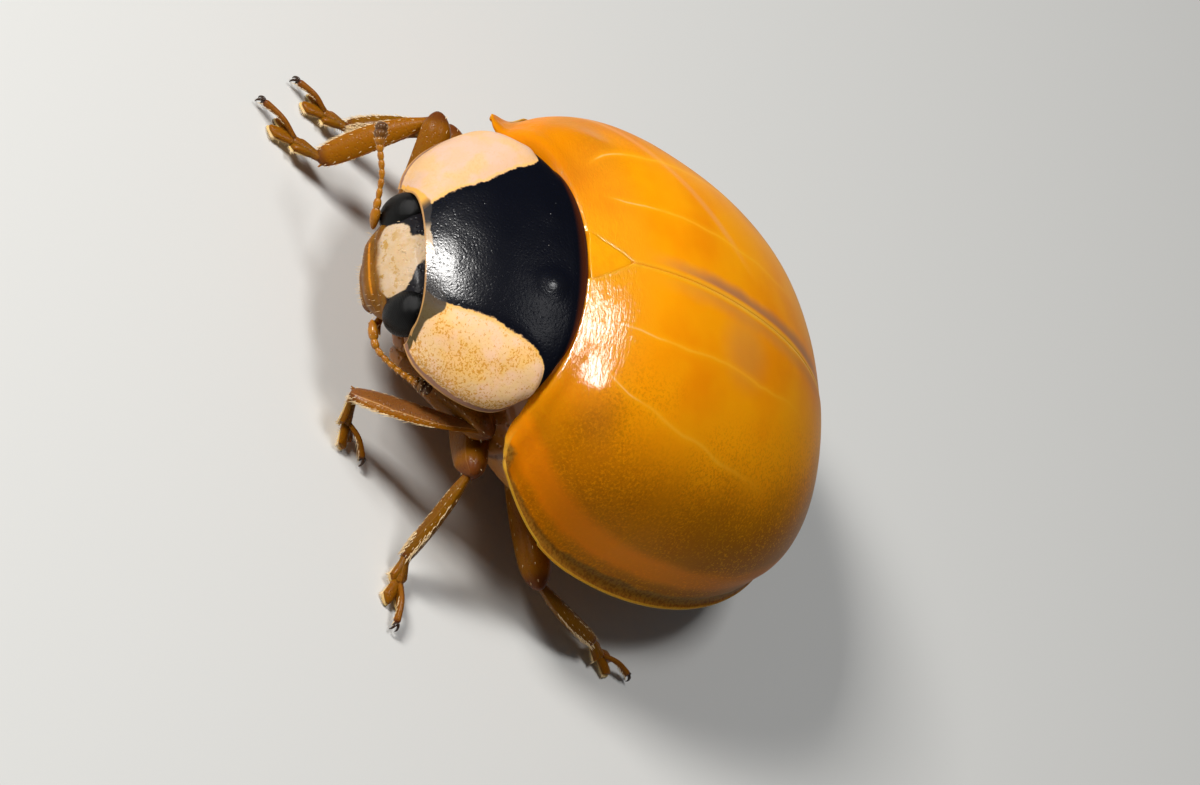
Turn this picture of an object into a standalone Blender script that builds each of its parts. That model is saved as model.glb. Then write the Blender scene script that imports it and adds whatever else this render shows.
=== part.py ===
"""A newly emerged ladybird beetle, standing: a still, life-size model.

The shapes are worked out in millimetres in the beetle's own frame: +X is its left, +Y its tail,
+Z up, y = 0 where the wing cases meet behind the pronotum, z = 0 the plane of their side rim.
seat() then turns them into metres and stands the beetle on z = 0, over the middle of its footprint.
"""

import math

import bmesh
import bpy
from mathutils import Matrix, Vector

MM = 0.001
RIM_HEIGHT = 1.0  # the rim plane above the surface that the feet stand on
FOOTPRINT_X = 0.315  # middle of the whole beetle's outline, in its own frame
FOOTPRINT_Y = 1.543
GAP = 0.03  # clear gap between neighbouring pieces

# Wing cases (elytra)
CASE_HALF_WIDTH = 2.886
CASE_LENGTH = 6.005
CASE_HEIGHT = 2.42
CASE_FRONT_Y = -0.45  # the shoulders reach this far forward
CASE_NOTCH_Y = -0.05  # the base at the midline
SHOULDER_X = 2.08
SHOULDER_WIDTH_RATIO = 0.719
WIDEST_AT = 0.323  # share of the length, from the shoulders
HIGHEST_AT = 0.326
BASE_HEIGHT_RATIO = 0.764
RIM_RISE = 0.82  # the rim climbs this much towards the shoulders
RIM_RISE_POWER = 3.88
SHOULDER_FLARE = 0.15
BRIM_FRONT = 0.30  # width of the flattened brim at the shoulder
BRIM_REAR = 0.16
SHOULDER_CURVE = 2.48  # exponents of the outline, the crest and the arch across
TAIL_CURVE = 2.38
CREST_CURVE = 1.893
ARCH_CURVE = 0.765
DOME_SHARE = 0.86  # share of a section's steps that lie on the dome
DOME_EDGE = math.radians(78)
CASE_THICKNESS = 0.50
SHELF_WIDTH = 0.46  # the inturned underside of the rim

# Scutellum
SCUTELLUM_HALF_WIDTH = 0.30
SCUTELLUM_LENGTH = 0.50
SCUTELLUM_DEPTH = 0.35
NOTCH_ROWS = 3  # rows of the wing cases' mesh beside the scutellum

# Pronotum: (share from front to back, half width, crest z, edge z, crest y, edge y)
PRONOTUM_STATIONS = (
    (0.00, 0.96, 0.98, 0.43, -1.64, -1.52),
    (0.20, 1.30, 1.27, 0.47, -1.38, -1.38),
    (0.45, 1.64, 1.59, 0.66, -1.02, -1.03),
    (0.70, 1.80, 1.84, 0.91, -0.62, -0.66),
    (0.88, 1.70, 1.98, 1.16, -0.28, -0.43),
    (1.00, 1.42, 2.02, 1.46, -0.10, -0.30),
)
PRONOTUM_THICKNESS = 0.28
PRONOTUM_EDGE = 0.09
CHEST_SHRINK = 0.80  # the forebody below the pronotum, against the pronotum's width
CHEST_FRONT = 0.47  # share of the pronotum's length where the forebody starts
BELLY_Z = -0.42

# Head: (z, half width, front y)
HEAD_STATIONS = (
    (-0.16, 0.30, -1.50),
    (-0.06, 0.42, -1.56),
    (0.12, 0.60, -1.63),
    (0.34, 0.72, -1.66),
    (0.56, 0.74, -1.64),
    (0.74, 0.66, -1.57),
    (0.84, 0.46, -1.46),
)
HEAD_BACK_Y = -1.06
EYE_CENTRE = (0.62, -1.42, 0.46)
EYE_RADII = (0.27, 0.25, 0.33)
LABRUM_SIZE = (0.56, 0.20, 0.17)
LABRUM_CENTRE = (0.0, -1.40, -0.27)

# Hind body between and behind the legs
WAIST_Y = -0.30
SEGMENT_Y = 1.62  # where the chest ends and the abdomen starts
TRUNK_END_Y = 4.90
TRUNK_CLEARANCE = 0.06
WAIST_NARROWING = 0.22  # the chest is narrower at its front, where the front knees fold up
WAIST_LENGTH = 0.9

# Limbs
FEMUR_RADIUS = 0.245
SHIN_RADIUS = 0.225
FOOT_RADIUS = 0.225
FEELER_RADIUS = 0.19
LIMB_SIDES = 10
TOE_HEIGHT = 0.11  # the foot's axis above the floor, at its tip
LEG_JOINTS = {
    "front_left": ((0.72, -0.78, -0.22), (1.76, -0.27, 0.52), (1.31, -1.41, -0.44), (1.80, -0.84)),
    "front_right": ((-0.72, -0.78, -0.22), (-2.02, -0.94, 0.57), (-1.76, -1.61, -0.66), (-2.36, -2.32)),
    "mid_left": ((0.82, 0.34, -0.38), (2.12, -0.20, 0.20), (2.89, -0.32, -0.74), (3.74, -0.38)),
    "mid_right": ((-0.82, 0.34, -0.38), (-2.26, -0.30, 0.16), (-2.36, -1.10, -0.70), (-2.84, -1.74)),
    "hind_left": ((0.98, 1.24, -0.42), (2.82, 1.46, -0.34), (3.02, 2.76, -0.72), (3.18, 3.58)),
    "hind_right": ((-0.98, 1.24, -0.42), (-2.74, 1.62, -0.34), (-2.92, 2.92, -0.72), (-3.04, 3.76)),
}
FEELER_ROUTES = {
    "antenna_left": ((0.68, -1.62, 0.04), (0.96, -1.52, 0.05), (1.23, -1.28, 0.18), (1.43, -1.02, 0.37)),
    "antenna_right": ((-0.66, -1.74, 0.22), (-0.98, -1.82, 0.46), (-1.28, -1.93, 0.60), (-1.56, -1.98, 0.70)),
}
PALP_ROUTE = ((0.42, -1.30, -0.24), (0.58, -1.36, -0.30), (0.68, -1.48, -0.34))
PALP_RADIUS = 0.14

COLOURS = {
    "wing_case": ((0.93, 0.42, 0.02), 0.22),
    "scutellum": ((0.85, 0.36, 0.03), 0.28),
    "pronotum": ((0.010, 0.011, 0.016), 0.20),
    "head": ((0.80, 0.62, 0.34), 0.35),
    "eye": ((0.012, 0.011, 0.013), 0.18),
    "mouth": ((0.72, 0.30, 0.04), 0.30),
    "feeler": ((0.60, 0.26, 0.05), 0.35),
    "underside": ((0.50, 0.20, 0.04), 0.40),
    "leg": ((0.62, 0.24, 0.04), 0.32),
}


def clear_scene():
    for item in list(bpy.data.objects):
        bpy.data.objects.remove(item, do_unlink=True)


def new_collection(name):
    collection = bpy.data.collections.new(name)
    bpy.context.scene.collection.children.link(collection)
    return collection


def finish_material(name):
    colour, roughness = COLOURS[name]
    material = bpy.data.materials.get(name) or bpy.data.materials.new(name)
    material.use_nodes = True
    shader = material.node_tree.nodes["Principled BSDF"]
    shader.inputs["Base Color"].default_value = (*colour, 1.0)
    shader.inputs["Roughness"].default_value = roughness
    shader.inputs["Metallic"].default_value = 0.0
    return material


def seat(point):
    """A point of the beetle's own frame in millimetres, as a place in metres over the floor."""
    x, y, z = point
    return Vector(((x - FOOTPRINT_X) * MM, (y - FOOTPRINT_Y) * MM, (z + RIM_HEIGHT) * MM))


def add_piece(name, shape, collection, material):
    """Stores a bmesh made in the beetle's frame as an object, and frees it."""
    bmesh.ops.recalc_face_normals(shape, faces=shape.faces[:])
    for vertex in shape.verts:
        vertex.co = seat(vertex.co)
    mesh = bpy.data.meshes.new(name)
    shape.to_mesh(mesh)
    shape.free()
    mesh.shade_smooth()
    mesh.set_sharp_from_angle(angle=math.radians(40))
    piece = bpy.data.objects.new(name, mesh)
    collection.objects.link(piece)
    if material:
        mesh.materials.append(finish_material(material))
    else:
        piece.hide_render = True
        piece.display_type = "WIRE"
    return piece


def stations_at(stations, share):
    """The row of station values at a share, on a smooth curve through the stations."""
    last = len(stations) - 2
    index = 0
    while index < last and share > stations[index + 1][0]:
        index += 1
    before = stations[max(index - 1, 0)]
    start, end = stations[index], stations[index + 1]
    after = stations[min(index + 2, len(stations) - 1)]
    span = end[0] - start[0]
    t = (share - start[0]) / span
    row = []
    for a, b, c, d in zip(before[1:], start[1:], end[1:], after[1:]):
        slope_in = (c - a) / max(end[0] - before[0], 1e-9) * span
        slope_out = (d - b) / max(after[0] - start[0], 1e-9) * span
        row.append(
            (2 * t**3 - 3 * t**2 + 1) * b
            + (t**3 - 2 * t**2 + t) * slope_in
            + (3 * t**2 - 2 * t**3) * c
            + (t**3 - t**2) * slope_out
        )
    return row


def fill_grid(shape, rows):
    """Quads between rows of vertices, and triangles where a row is one point."""
    for upper, lower in zip(rows, rows[1:]):
        for index in range(max(len(upper), len(lower)) - 1):
            a = upper[min(index, len(upper) - 1)]
            b = upper[min(index + 1, len(upper) - 1)]
            c = lower[min(index + 1, len(lower) - 1)]
            d = lower[min(index, len(lower) - 1)]
            corners = list(dict.fromkeys((a, b, c, d)))
            if len(corners) > 2:
                shape.faces.new(corners)


def loft(rings):
    """A closed body through rings of points, with flat ends. A ring of one point is a tip."""
    shape = bmesh.new()
    rows = [[shape.verts.new(point) for point in ring] for ring in rings]
    fill_grid(shape, [row + row[:1] if len(row) > 1 else row for row in rows])
    for row in (rows[0], rows[-1]):
        if len(row) > 2:
            shape.faces.new(row)
    return shape


def cut_flat(shape, point, normal):
    """Takes away what lies on the normal's side of a plane, and closes the cut."""
    geometry = shape.verts[:] + shape.edges[:] + shape.faces[:]
    result = bmesh.ops.bisect_plane(
        shape, geom=geometry, dist=1e-5, plane_co=point, plane_no=normal, clear_outer=True
    )
    edges = [item for item in result["geom_cut"] if isinstance(item, bmesh.types.BMEdge)]
    if edges:
        bmesh.ops.holes_fill(shape, edges=edges, sides=0)


# Wing cases


def case_half_width(share):
    if share < WIDEST_AT:
        ahead = (WIDEST_AT - share) / WIDEST_AT
        return CASE_HALF_WIDTH * (1 - (1 - SHOULDER_WIDTH_RATIO) * ahead**SHOULDER_CURVE)
    behind = min((share - WIDEST_AT) / (1 - WIDEST_AT), 1.0)
    return CASE_HALF_WIDTH * (1 - behind**TAIL_CURVE) ** (1 / TAIL_CURVE)


def case_crest(share):
    if share < HIGHEST_AT:
        ahead = (HIGHEST_AT - share) / HIGHEST_AT
        return CASE_HEIGHT * (1 - (1 - BASE_HEIGHT_RATIO) * ahead**2)
    behind = min((share - HIGHEST_AT) / (1 - HIGHEST_AT), 1.0)
    return CASE_HEIGHT * (1 - behind**CREST_CURVE) ** (1 / CREST_CURVE)


def case_rim(share):
    return min(RIM_RISE * (1 - share) ** RIM_RISE_POWER + 0.05 * share**3, case_crest(share))


def case_base_y(x):
    """The front edge of the wing cases, which runs forward towards each shoulder."""
    return CASE_NOTCH_Y - (CASE_NOTCH_Y - CASE_FRONT_Y) * min(abs(x) / SHOULDER_X, 1.0) ** 2.2


def case_section(share, step):
    """Outer face of the left case: x and z at a share of its length, step 0 midline to 1 rim."""
    half = case_half_width(share)
    brim = min(BRIM_FRONT + (BRIM_REAR - BRIM_FRONT) * min(share / 0.35, 1.0), 0.5 * half)
    dome = half - brim
    crest = case_crest(share)
    rim = case_rim(share)
    if step <= DOME_SHARE:
        angle = step / DOME_SHARE * DOME_EDGE
        return dome * math.sin(angle), rim + (crest - rim) * math.cos(angle) ** ARCH_CURVE
    foot_x = dome * math.sin(DOME_EDGE)
    foot_z = rim + (crest - rim) * math.cos(DOME_EDGE) ** ARCH_CURVE
    flare = SHOULDER_FLARE * max(1 - share / 0.3, 0.0) ** 1.5
    t = (step - DOME_SHARE) / (1 - DOME_SHARE)
    x = (1 - t) ** 2 * foot_x + 2 * t * (1 - t) * (dome + 0.1 * brim) + t * t * half
    z = (1 - t) ** 2 * foot_z + 2 * t * (1 - t) * rim + t * t * (rim + flare)
    return x, z


def scutellum_half_width(y):
    """Half width of the little shield between the cases' front corners."""
    along = (y - CASE_NOTCH_Y) / SCUTELLUM_LENGTH
    return SCUTELLUM_HALF_WIDTH * max(1 - along, 0.0) ** 0.85


def midline_step(share):
    """The step of a section where the case starts, beside the midline or the scutellum."""
    y = CASE_FRONT_Y + CASE_LENGTH * share
    inner_x = GAP / 2 + scutellum_half_width(y) + (GAP if y < CASE_NOTCH_Y + SCUTELLUM_LENGTH else 0)
    dome = max(case_half_width(share) - BRIM_REAR, 0.2)
    return min(DOME_SHARE * math.asin(min(inner_x / dome, 0.9)) / DOME_EDGE, 0.5)


def case_step(share, spread):
    first = midline_step(share)
    return first + (1 - first) * spread


def base_share(spread):
    """The share of the case's length where its front edge lies, at a spread from midline to rim."""
    share = 0.05
    for _ in range(6):
        x, _z = case_section(share, case_step(share, spread))
        share = (case_base_y(x) - CASE_FRONT_Y) / CASE_LENGTH
    return share


def inside_case(share, step, clearance=0.0):
    """The point inside the shell: a shell thickness below the dome, a shelf width in from the rim."""
    x, z = case_section(share, step)
    shelf = SHELF_WIDTH + clearance
    depth = CASE_THICKNESS + clearance
    inward = 1 - shelf / max(case_half_width(share), shelf * 1.6)
    low = case_rim(share) - 0.02 - clearance
    height = case_crest(share) - low
    lower = max(1 - depth / max(height, depth * 1.6), 0.35)
    y = CASE_FRONT_Y + CASE_LENGTH * share - depth * share**2
    return x * inward, y, low + (z - low - clearance) * lower


def row_place(row, rows):
    """How far back a row lies: three rows beside the scutellum, then closer towards the tip."""
    notch_end = SCUTELLUM_LENGTH / (CASE_FRONT_Y + CASE_LENGTH - CASE_NOTCH_Y)
    if row <= NOTCH_ROWS:
        return notch_end * row / NOTCH_ROWS
    behind = (row - NOTCH_ROWS) / (rows - NOTCH_ROWS)
    return notch_end + (1 - notch_end) * (1 - (1 - behind) ** 1.5)


def case_layer(columns, rows, inner):
    """Rows of points from the base back to the tip, on the outer face or inside the shell."""
    layer = []
    for row in range(rows):
        back = row_place(row, rows)
        line = []
        for column in range(columns + 1):
            spread = column / columns
            start = base_share(spread)
            share = start + (1 - start) * back
            step = case_step(share, spread)
            x, z = case_section(share, step)
            y = CASE_FRONT_Y + CASE_LENGTH * share
            if inner:
                edge_x = x if column == 0 else GAP / 2
                x, y, z = inside_case(share, step)
                x = max(x, edge_x)
            line.append((x, y, z))
        layer.append(line)
    end_y = CASE_FRONT_Y + CASE_LENGTH
    layer.append([(GAP / 2, end_y - (CASE_THICKNESS if inner else 0), case_rim(1.0) - (0.02 if inner else 0))])
    return layer


def make_wing_case(side, columns=15, rows=20):
    """One wing case: the outer dome, the inside a shell thickness below, and the edges between."""
    shape = bmesh.new()
    layers = []
    for inner in (False, True):
        points = case_layer(columns, rows, inner)
        layers.append([[shape.verts.new((side * x, y, z)) for x, y, z in line] for line in points])
    outer, inside = layers
    fill_grid(shape, outer)
    fill_grid(shape, inside)
    for border in (
        [outer[0], inside[0]],
        [[line[0] for line in outer], [line[0] for line in inside]],
        [[line[-1] for line in outer], [line[-1] for line in inside]],
    ):
        fill_grid(shape, border)
    return shape


def make_scutellum():
    """A small triangular shield, its top level with the wing cases beside it."""
    rings = []
    for step in range(6):
        along = step / 5
        y = CASE_NOTCH_Y + GAP + (SCUTELLUM_LENGTH - 2 * GAP) * along
        half = max(scutellum_half_width(y), 0.02)
        top = case_crest((y - CASE_FRONT_Y) / CASE_LENGTH) - 0.01
        bottom = top - SCUTELLUM_DEPTH
        rings.append(
            [
                (-half, y, top - 0.02),
                (-half * 0.5, y, top),
                (0.0, y, top + 0.005),
                (half * 0.5, y, top),
                (half, y, top - 0.02),
                (half, y, bottom),
                (-half, y, bottom),
            ]
        )
    return loft(rings)


# Pronotum and forebody


def pronotum_point(share, angle, lower=0.0):
    """A point of the pronotum's top, or of the face that lies lower (0 top, 1 underside)."""
    half, crest_z, edge_z, crest_y, edge_y = stations_at(PRONOTUM_STATIONS, share)
    side = math.sin(angle)
    arch = abs(math.cos(angle)) ** 0.80
    thin = PRONOTUM_EDGE + (PRONOTUM_THICKNESS - PRONOTUM_EDGE) * arch * math.sin(math.pi * share) ** 0.5
    x = half * side * (1 - 0.03 * lower)
    y = crest_y + (edge_y - crest_y) * side**2
    z = edge_z + (crest_z - edge_z) * arch - thin * lower
    return x, y, z


def make_pronotum(columns=18, rows=10):
    """The domed neck shield: the top, the underside and the thin edge all round."""
    shape = bmesh.new()
    layers = []
    for lower in (0.0, 1.0):
        layer = []
        for row in range(rows + 1):
            angles = [math.radians(-90 + 180 * column / columns) for column in range(columns + 1)]
            layer.append([shape.verts.new(pronotum_point(row / rows, angle, lower)) for angle in angles])
        layers.append(layer)
        fill_grid(shape, layer)
    top, under = layers
    for border in (
        [top[0], under[0]],
        [top[-1], under[-1]],
        [[line[0] for line in top], [line[0] for line in under]],
        [[line[-1] for line in top], [line[-1] for line in under]],
    ):
        fill_grid(shape, border)
    return shape


def make_forebody(columns=14, rows=6):
    """The part of the trunk that the pronotum covers, which carries the front legs."""
    rings = []
    for row in range(rows + 1):
        share = CHEST_FRONT + (0.97 - CHEST_FRONT) * row / rows
        half, crest_z, edge_z, crest_y, edge_y = stations_at(PRONOTUM_STATIONS, share)
        half *= CHEST_SHRINK
        waist = edge_z - 0.14
        top = crest_z - PRONOTUM_THICKNESS - 0.10 - waist
        rise = 0.30 * (1 - row / rows) ** 2
        ring = []
        for column in range(columns):
            angle = math.radians(-90 + 180 * column / columns)
            y = crest_y + (edge_y - crest_y) * math.sin(angle) ** 2 + 0.02
            ring.append((half * math.sin(angle), min(y, WAIST_Y - GAP), waist + top * math.cos(angle)))
        for column in range(columns):
            angle = math.radians(90 - 180 * column / columns)
            y = crest_y + (edge_y - crest_y) * math.sin(angle) ** 2 + 0.02
            depth = waist - BELLY_Z - rise
            ring.append((half * math.sin(angle), min(y, WAIST_Y - GAP), waist - depth * math.cos(angle)))
        rings.append(ring)
    return loft(rings)


# Chest and abdomen


def trunk_ring(y, columns):
    """A cross-section of the trunk: inside the wing cases above, flatly rounded below."""
    share = (y - CASE_FRONT_Y) / CASE_LENGTH
    for _ in range(8):
        share = min((y - CASE_FRONT_Y + (CASE_THICKNESS + TRUNK_CLEARANCE) * share**2) / CASE_LENGTH, 0.995)
    waist = 1 - WAIST_NARROWING * max(1 - (y - WAIST_Y) / WAIST_LENGTH, 0.0) ** 2
    right = []
    for column in range(columns + 1):
        x, _y, z = inside_case(share, 0.94 * column / columns, TRUNK_CLEARANCE)
        right.append((x * waist, y, z))
    half, _y, edge = right[-1]
    close = min(max((y - SEGMENT_Y) / (TRUNK_END_Y - SEGMENT_Y), 0.0), 1.0)
    depth = edge - BELLY_Z * (1 - close**3) + 0.03
    below = []
    for column in range(1, columns + 1):
        angle = math.radians(90 - 90 * column / columns)
        below.append((half * math.sin(angle), y, edge - depth * math.cos(angle) ** 0.7))
    outline = right + below
    return outline + [(-x, y, z) for x, y, z in reversed(outline[1:-1])]


def make_trunk(start_y, end_y, rows, columns=8):
    return loft([trunk_ring(start_y + (end_y - start_y) * row / rows, columns) for row in range(rows + 1)])


# Head


def make_head(columns=20, rows=10):
    """The face hangs straight down; its back is flat against the forebody."""
    rings = []
    low, high = HEAD_STATIONS[0][0], HEAD_STATIONS[-1][0]
    for row in range(rows + 1):
        z = low + (high - low) * row / rows
        half, front = stations_at(HEAD_STATIONS, z)
        middle = (front + HEAD_BACK_Y) / 2
        depth = (HEAD_BACK_Y - front) / 2
        ring = []
        for column in range(columns):
            angle = 2 * math.pi * column / columns
            c, s = math.cos(angle), math.sin(angle)
            x = half * math.copysign(abs(c) ** 0.8, c)
            y = middle + depth * math.copysign(abs(s) ** 0.8, s)
            ring.append((x, y, z))
        rings.append(ring)
    return loft(rings)


def make_ellipsoid(centre, radii, turn=0.0, segments=16, rings=10):
    shape = bmesh.new()
    bmesh.ops.create_uvsphere(shape, u_segments=segments, v_segments=rings, radius=1.0)
    place = Matrix.Translation(centre) @ Matrix.Rotation(turn, 4, "Z") @ Matrix.Diagonal((*radii, 1.0))
    bmesh.ops.transform(shape, matrix=place, verts=shape.verts[:])
    return shape


def make_labrum():
    """The upper lip: a rounded plate under the face."""
    shape = make_ellipsoid(LABRUM_CENTRE, [size / 2 for size in LABRUM_SIZE], segments=14, rings=8)
    cut_flat(shape, (0, 0, HEAD_STATIONS[0][0] - GAP), (0, 0, 1))
    return shape


# Limbs


def limb_rings(path, radius_at, steps, sides):
    """Rings along a smooth path, closed by a point at each end."""
    rings = []
    ahead = None
    for step in range(steps + 1):
        share = step / steps
        centre = path(share)
        tangent = (path(min(share + 0.01, 1.0)) - path(max(share - 0.01, 0.0))).normalized()
        across = tangent.cross(Vector((0, 0, 1))) if ahead is None else ahead - tangent * ahead.dot(tangent)
        across.normalize()
        ahead = across
        other = tangent.cross(across)
        radius = radius_at(share)
        if radius < 1e-6:
            rings.append([centre])
            continue
        ring = []
        for side in range(sides):
            angle = 2 * math.pi * side / sides
            ring.append(centre + radius * (across * math.cos(angle) + other * math.sin(angle)))
        rings.append(ring)
    return rings


def straight_path(start, end):
    start, end = Vector(start), Vector(end)
    return lambda share: start.lerp(end, share)


def smooth_path(points):
    """A smooth curve through a few points, by share of the whole."""
    stations = [(index / (len(points) - 1), *point) for index, point in enumerate(points)]
    return lambda share: Vector(stations_at(stations, share))


def limb_radius(thick, length, slim=1.0):
    """Round ends and a slightly fuller middle."""
    end_share = thick / length

    def radius_at(share):
        from_end = min(share, 1 - share) / end_share
        round_end = math.sqrt(max(1 - (1 - min(from_end, 1.0)) ** 2, 0.0))
        return thick * round_end * (slim + (1 - slim) * math.sin(math.pi * share))

    return radius_at


def end_steps(steps, length, thick):
    """Shares along a limb, close together where the ends are rounded."""
    end_share = thick / length
    ends = [end_share * (1 - math.cos(math.radians(90 * step / 2))) for step in range(3)]
    middle = [ends[-1] + (1 - 2 * ends[-1]) * step / steps for step in range(1, steps)]
    return ends + middle + [1 - share for share in reversed(ends)]


def make_segment(start, end, thick, before=None, after=None, grow=0.0):
    """A limb segment, mitred against the segment before it and the one after it."""
    start, end = Vector(start), Vector(end)
    along = (end - start).normalized()
    start_round = start - along * (thick * 0.6)
    end_round = end + along * (thick * 0.6)
    length = (end_round - start_round).length
    thick += grow
    radius_at = limb_radius(thick, length, slim=0.94)
    shares = end_steps(3, length, thick)
    path = straight_path(start_round, end_round)
    across = along.cross(Vector((0, 0, 1)))
    if across.length < 0.1:
        across = along.cross(Vector((0, 1, 0)))
    across.normalize()
    other = along.cross(across)
    rings = []
    for share in shares:
        radius = radius_at(share)
        if radius < 1e-6:
            rings.append([path(share)])
            continue
        angles = [2 * math.pi * side / LIMB_SIDES for side in range(LIMB_SIDES)]
        rings.append([path(share) + radius * (across * math.cos(a) + other * math.sin(a)) for a in angles])
    shape = loft(rings)
    if before is not None:
        mitre = ((start - Vector(before)).normalized() + along).normalized()
        cut_flat(shape, start + mitre * (GAP / 2), -mitre)
    if after is not None:
        mitre = ((Vector(after) - end).normalized() + along).normalized()
        cut_flat(shape, end - mitre * (GAP / 2), mitre)
    return shape


def make_leg(name, joints, parts):
    """Thigh, shin and foot. The foot's sole is cut flat at the floor."""
    hip, knee, ankle, toe = joints
    floor_z = -RIM_HEIGHT
    toe = (*toe, floor_z + TOE_HEIGHT)
    thigh = make_segment(hip, knee, FEMUR_RADIUS, after=ankle)
    shin = make_segment(knee, ankle, SHIN_RADIUS, before=hip, after=toe)
    foot = make_segment(ankle, toe, FOOT_RADIUS, before=knee)
    cut_flat(foot, (0, 0, floor_z), (0, 0, -1))
    for part_name, shape in (("femur", thigh), ("tibia", shin), ("tarsus", foot)):
        add_piece(f"{part_name}_{name}", shape, parts, "leg")


def make_feeler(points, thick, steps):
    """A feeler on a smooth path: slim at its root, thickest near its tip."""
    path = smooth_path(points)

    def radius_at(share):
        if share in (0.0, 1.0):
            return 0.0
        return thick * min(0.55 + 1.1 * share, 1.0) * (0.8 if share > 0.93 else 1.0)

    return loft(limb_rings(path, radius_at, steps, 8))


# Assembly


def cut_by(piece, cutters):
    for cutter in cutters:
        modifier = piece.modifiers.new(f"clear {cutter.name}", "BOOLEAN")
        modifier.operation = "DIFFERENCE"
        modifier.solver = "EXACT"
        modifier.object = cutter


def main():
    clear_scene()
    parts = new_collection("ladybird")
    tools = new_collection("cutters")

    for name, side in (("left", 1), ("right", -1)):
        add_piece(f"elytron_{name}", make_wing_case(side), parts, "wing_case")
    add_piece("scutellum", make_scutellum(), parts, "scutellum")
    add_piece("pronotum", make_pronotum(), parts, "pronotum")
    forebody = add_piece("prothorax", make_forebody(), parts, "underside")
    chest = add_piece("thorax", make_trunk(WAIST_Y, SEGMENT_Y - GAP / 2, 7), parts, "underside")
    abdomen = add_piece("abdomen", make_trunk(SEGMENT_Y + GAP / 2, TRUNK_END_Y, 10), parts, "underside")

    head = add_piece("head", make_head(), parts, "head")
    eye_cutters = []
    for name, side in (("left", 1), ("right", -1)):
        centre = (side * EYE_CENTRE[0], EYE_CENTRE[1], EYE_CENTRE[2])
        add_piece(f"eye_{name}", make_ellipsoid(centre, EYE_RADII), parts, "eye")
        socket = make_ellipsoid(centre, [radius + GAP for radius in EYE_RADII])
        eye_cutters.append(add_piece(f"socket_{name}", socket, tools, None))
        palp = [(side * x, y, z) for x, y, z in PALP_ROUTE]
        add_piece(f"palp_{name}", make_feeler(palp, PALP_RADIUS, 5), parts, "feeler")
    cut_by(head, eye_cutters)
    add_piece("labrum", make_labrum(), parts, "mouth")
    for name, route in FEELER_ROUTES.items():
        add_piece(name, make_feeler(route, FEELER_RADIUS, 8), parts, "feeler")

    hips = {}
    for name, joints in LEG_JOINTS.items():
        make_leg(name, joints, parts)
        groove = make_segment(joints[0], joints[1], FEMUR_RADIUS, grow=GAP)
        hips[name] = add_piece(f"hip_{name}", groove, tools, None)
    cut_by(forebody, [hips["front_left"], hips["front_right"]])
    cut_by(chest, list(hips.values()))
    cut_by(abdomen, [hips["hind_left"], hips["hind_right"]])


main()
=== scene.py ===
"""The looks of a newly emerged ladybird beetle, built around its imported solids.

Shapes are worked out in millimetres in the beetle's own frame, as in the construction: +X is its
left, +Y its tail, +Z up, y = 0 where the wing cases meet behind the pronotum, and z = 0 the plane
of their side rim. seat() turns them into metres over the floor.
"""

import math

import bmesh
import bpy
import numpy as np
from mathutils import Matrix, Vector, noise


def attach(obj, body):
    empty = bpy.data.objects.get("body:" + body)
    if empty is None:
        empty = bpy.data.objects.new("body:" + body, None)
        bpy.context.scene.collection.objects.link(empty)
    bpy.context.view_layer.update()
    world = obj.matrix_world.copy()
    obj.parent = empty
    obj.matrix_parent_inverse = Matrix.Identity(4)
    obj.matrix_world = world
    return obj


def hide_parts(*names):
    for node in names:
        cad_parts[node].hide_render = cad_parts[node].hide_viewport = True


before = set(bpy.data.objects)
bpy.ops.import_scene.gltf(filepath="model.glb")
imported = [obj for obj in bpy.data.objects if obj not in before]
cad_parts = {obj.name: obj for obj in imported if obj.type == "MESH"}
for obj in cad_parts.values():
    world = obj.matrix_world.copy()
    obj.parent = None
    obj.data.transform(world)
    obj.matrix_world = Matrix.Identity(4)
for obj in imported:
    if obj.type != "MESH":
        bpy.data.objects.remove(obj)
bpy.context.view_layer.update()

MM = 0.001
RIM_HEIGHT = 1.0  # the rim plane above the floor
FOOTPRINT_X = 0.315
FOOTPRINT_Y = 1.543
MERGE_DISTANCE = 2e-8  # metres: only points that coincide are merged

# Camera, light and floor
VIEW_AZIMUTH = math.radians(33.561)
VIEW_ELEVATION = math.radians(36.129)
VIEW_ROLL = math.radians(65.674)
VIEW_DISTANCE = 75.0
VIEW_AIM = (0.856, 1.332, 0.872)
LENS = 194.5
SENSOR = 36.0
AIR = (0.80, 0.84, 0.90, 1.0)
AIR_STRENGTH = 0.07
PAPER = (0.72, 0.72, 0.70, 1.0)
FLOOR_REACH = 1.5

# Wing cases: driving sizes, as in the construction
CASE_HALF_WIDTH = 2.886
CASE_LENGTH = 6.005
CASE_HEIGHT = 2.42
CASE_FRONT_Y = -0.45
CASE_NOTCH_Y = -0.05
SHOULDER_X = 2.08
SHOULDER_WIDTH_RATIO = 0.719
WIDEST_AT = 0.323
HIGHEST_AT = 0.326
BASE_HEIGHT_RATIO = 0.764
RIM_RISE = 0.82
RIM_RISE_POWER = 3.88
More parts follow.
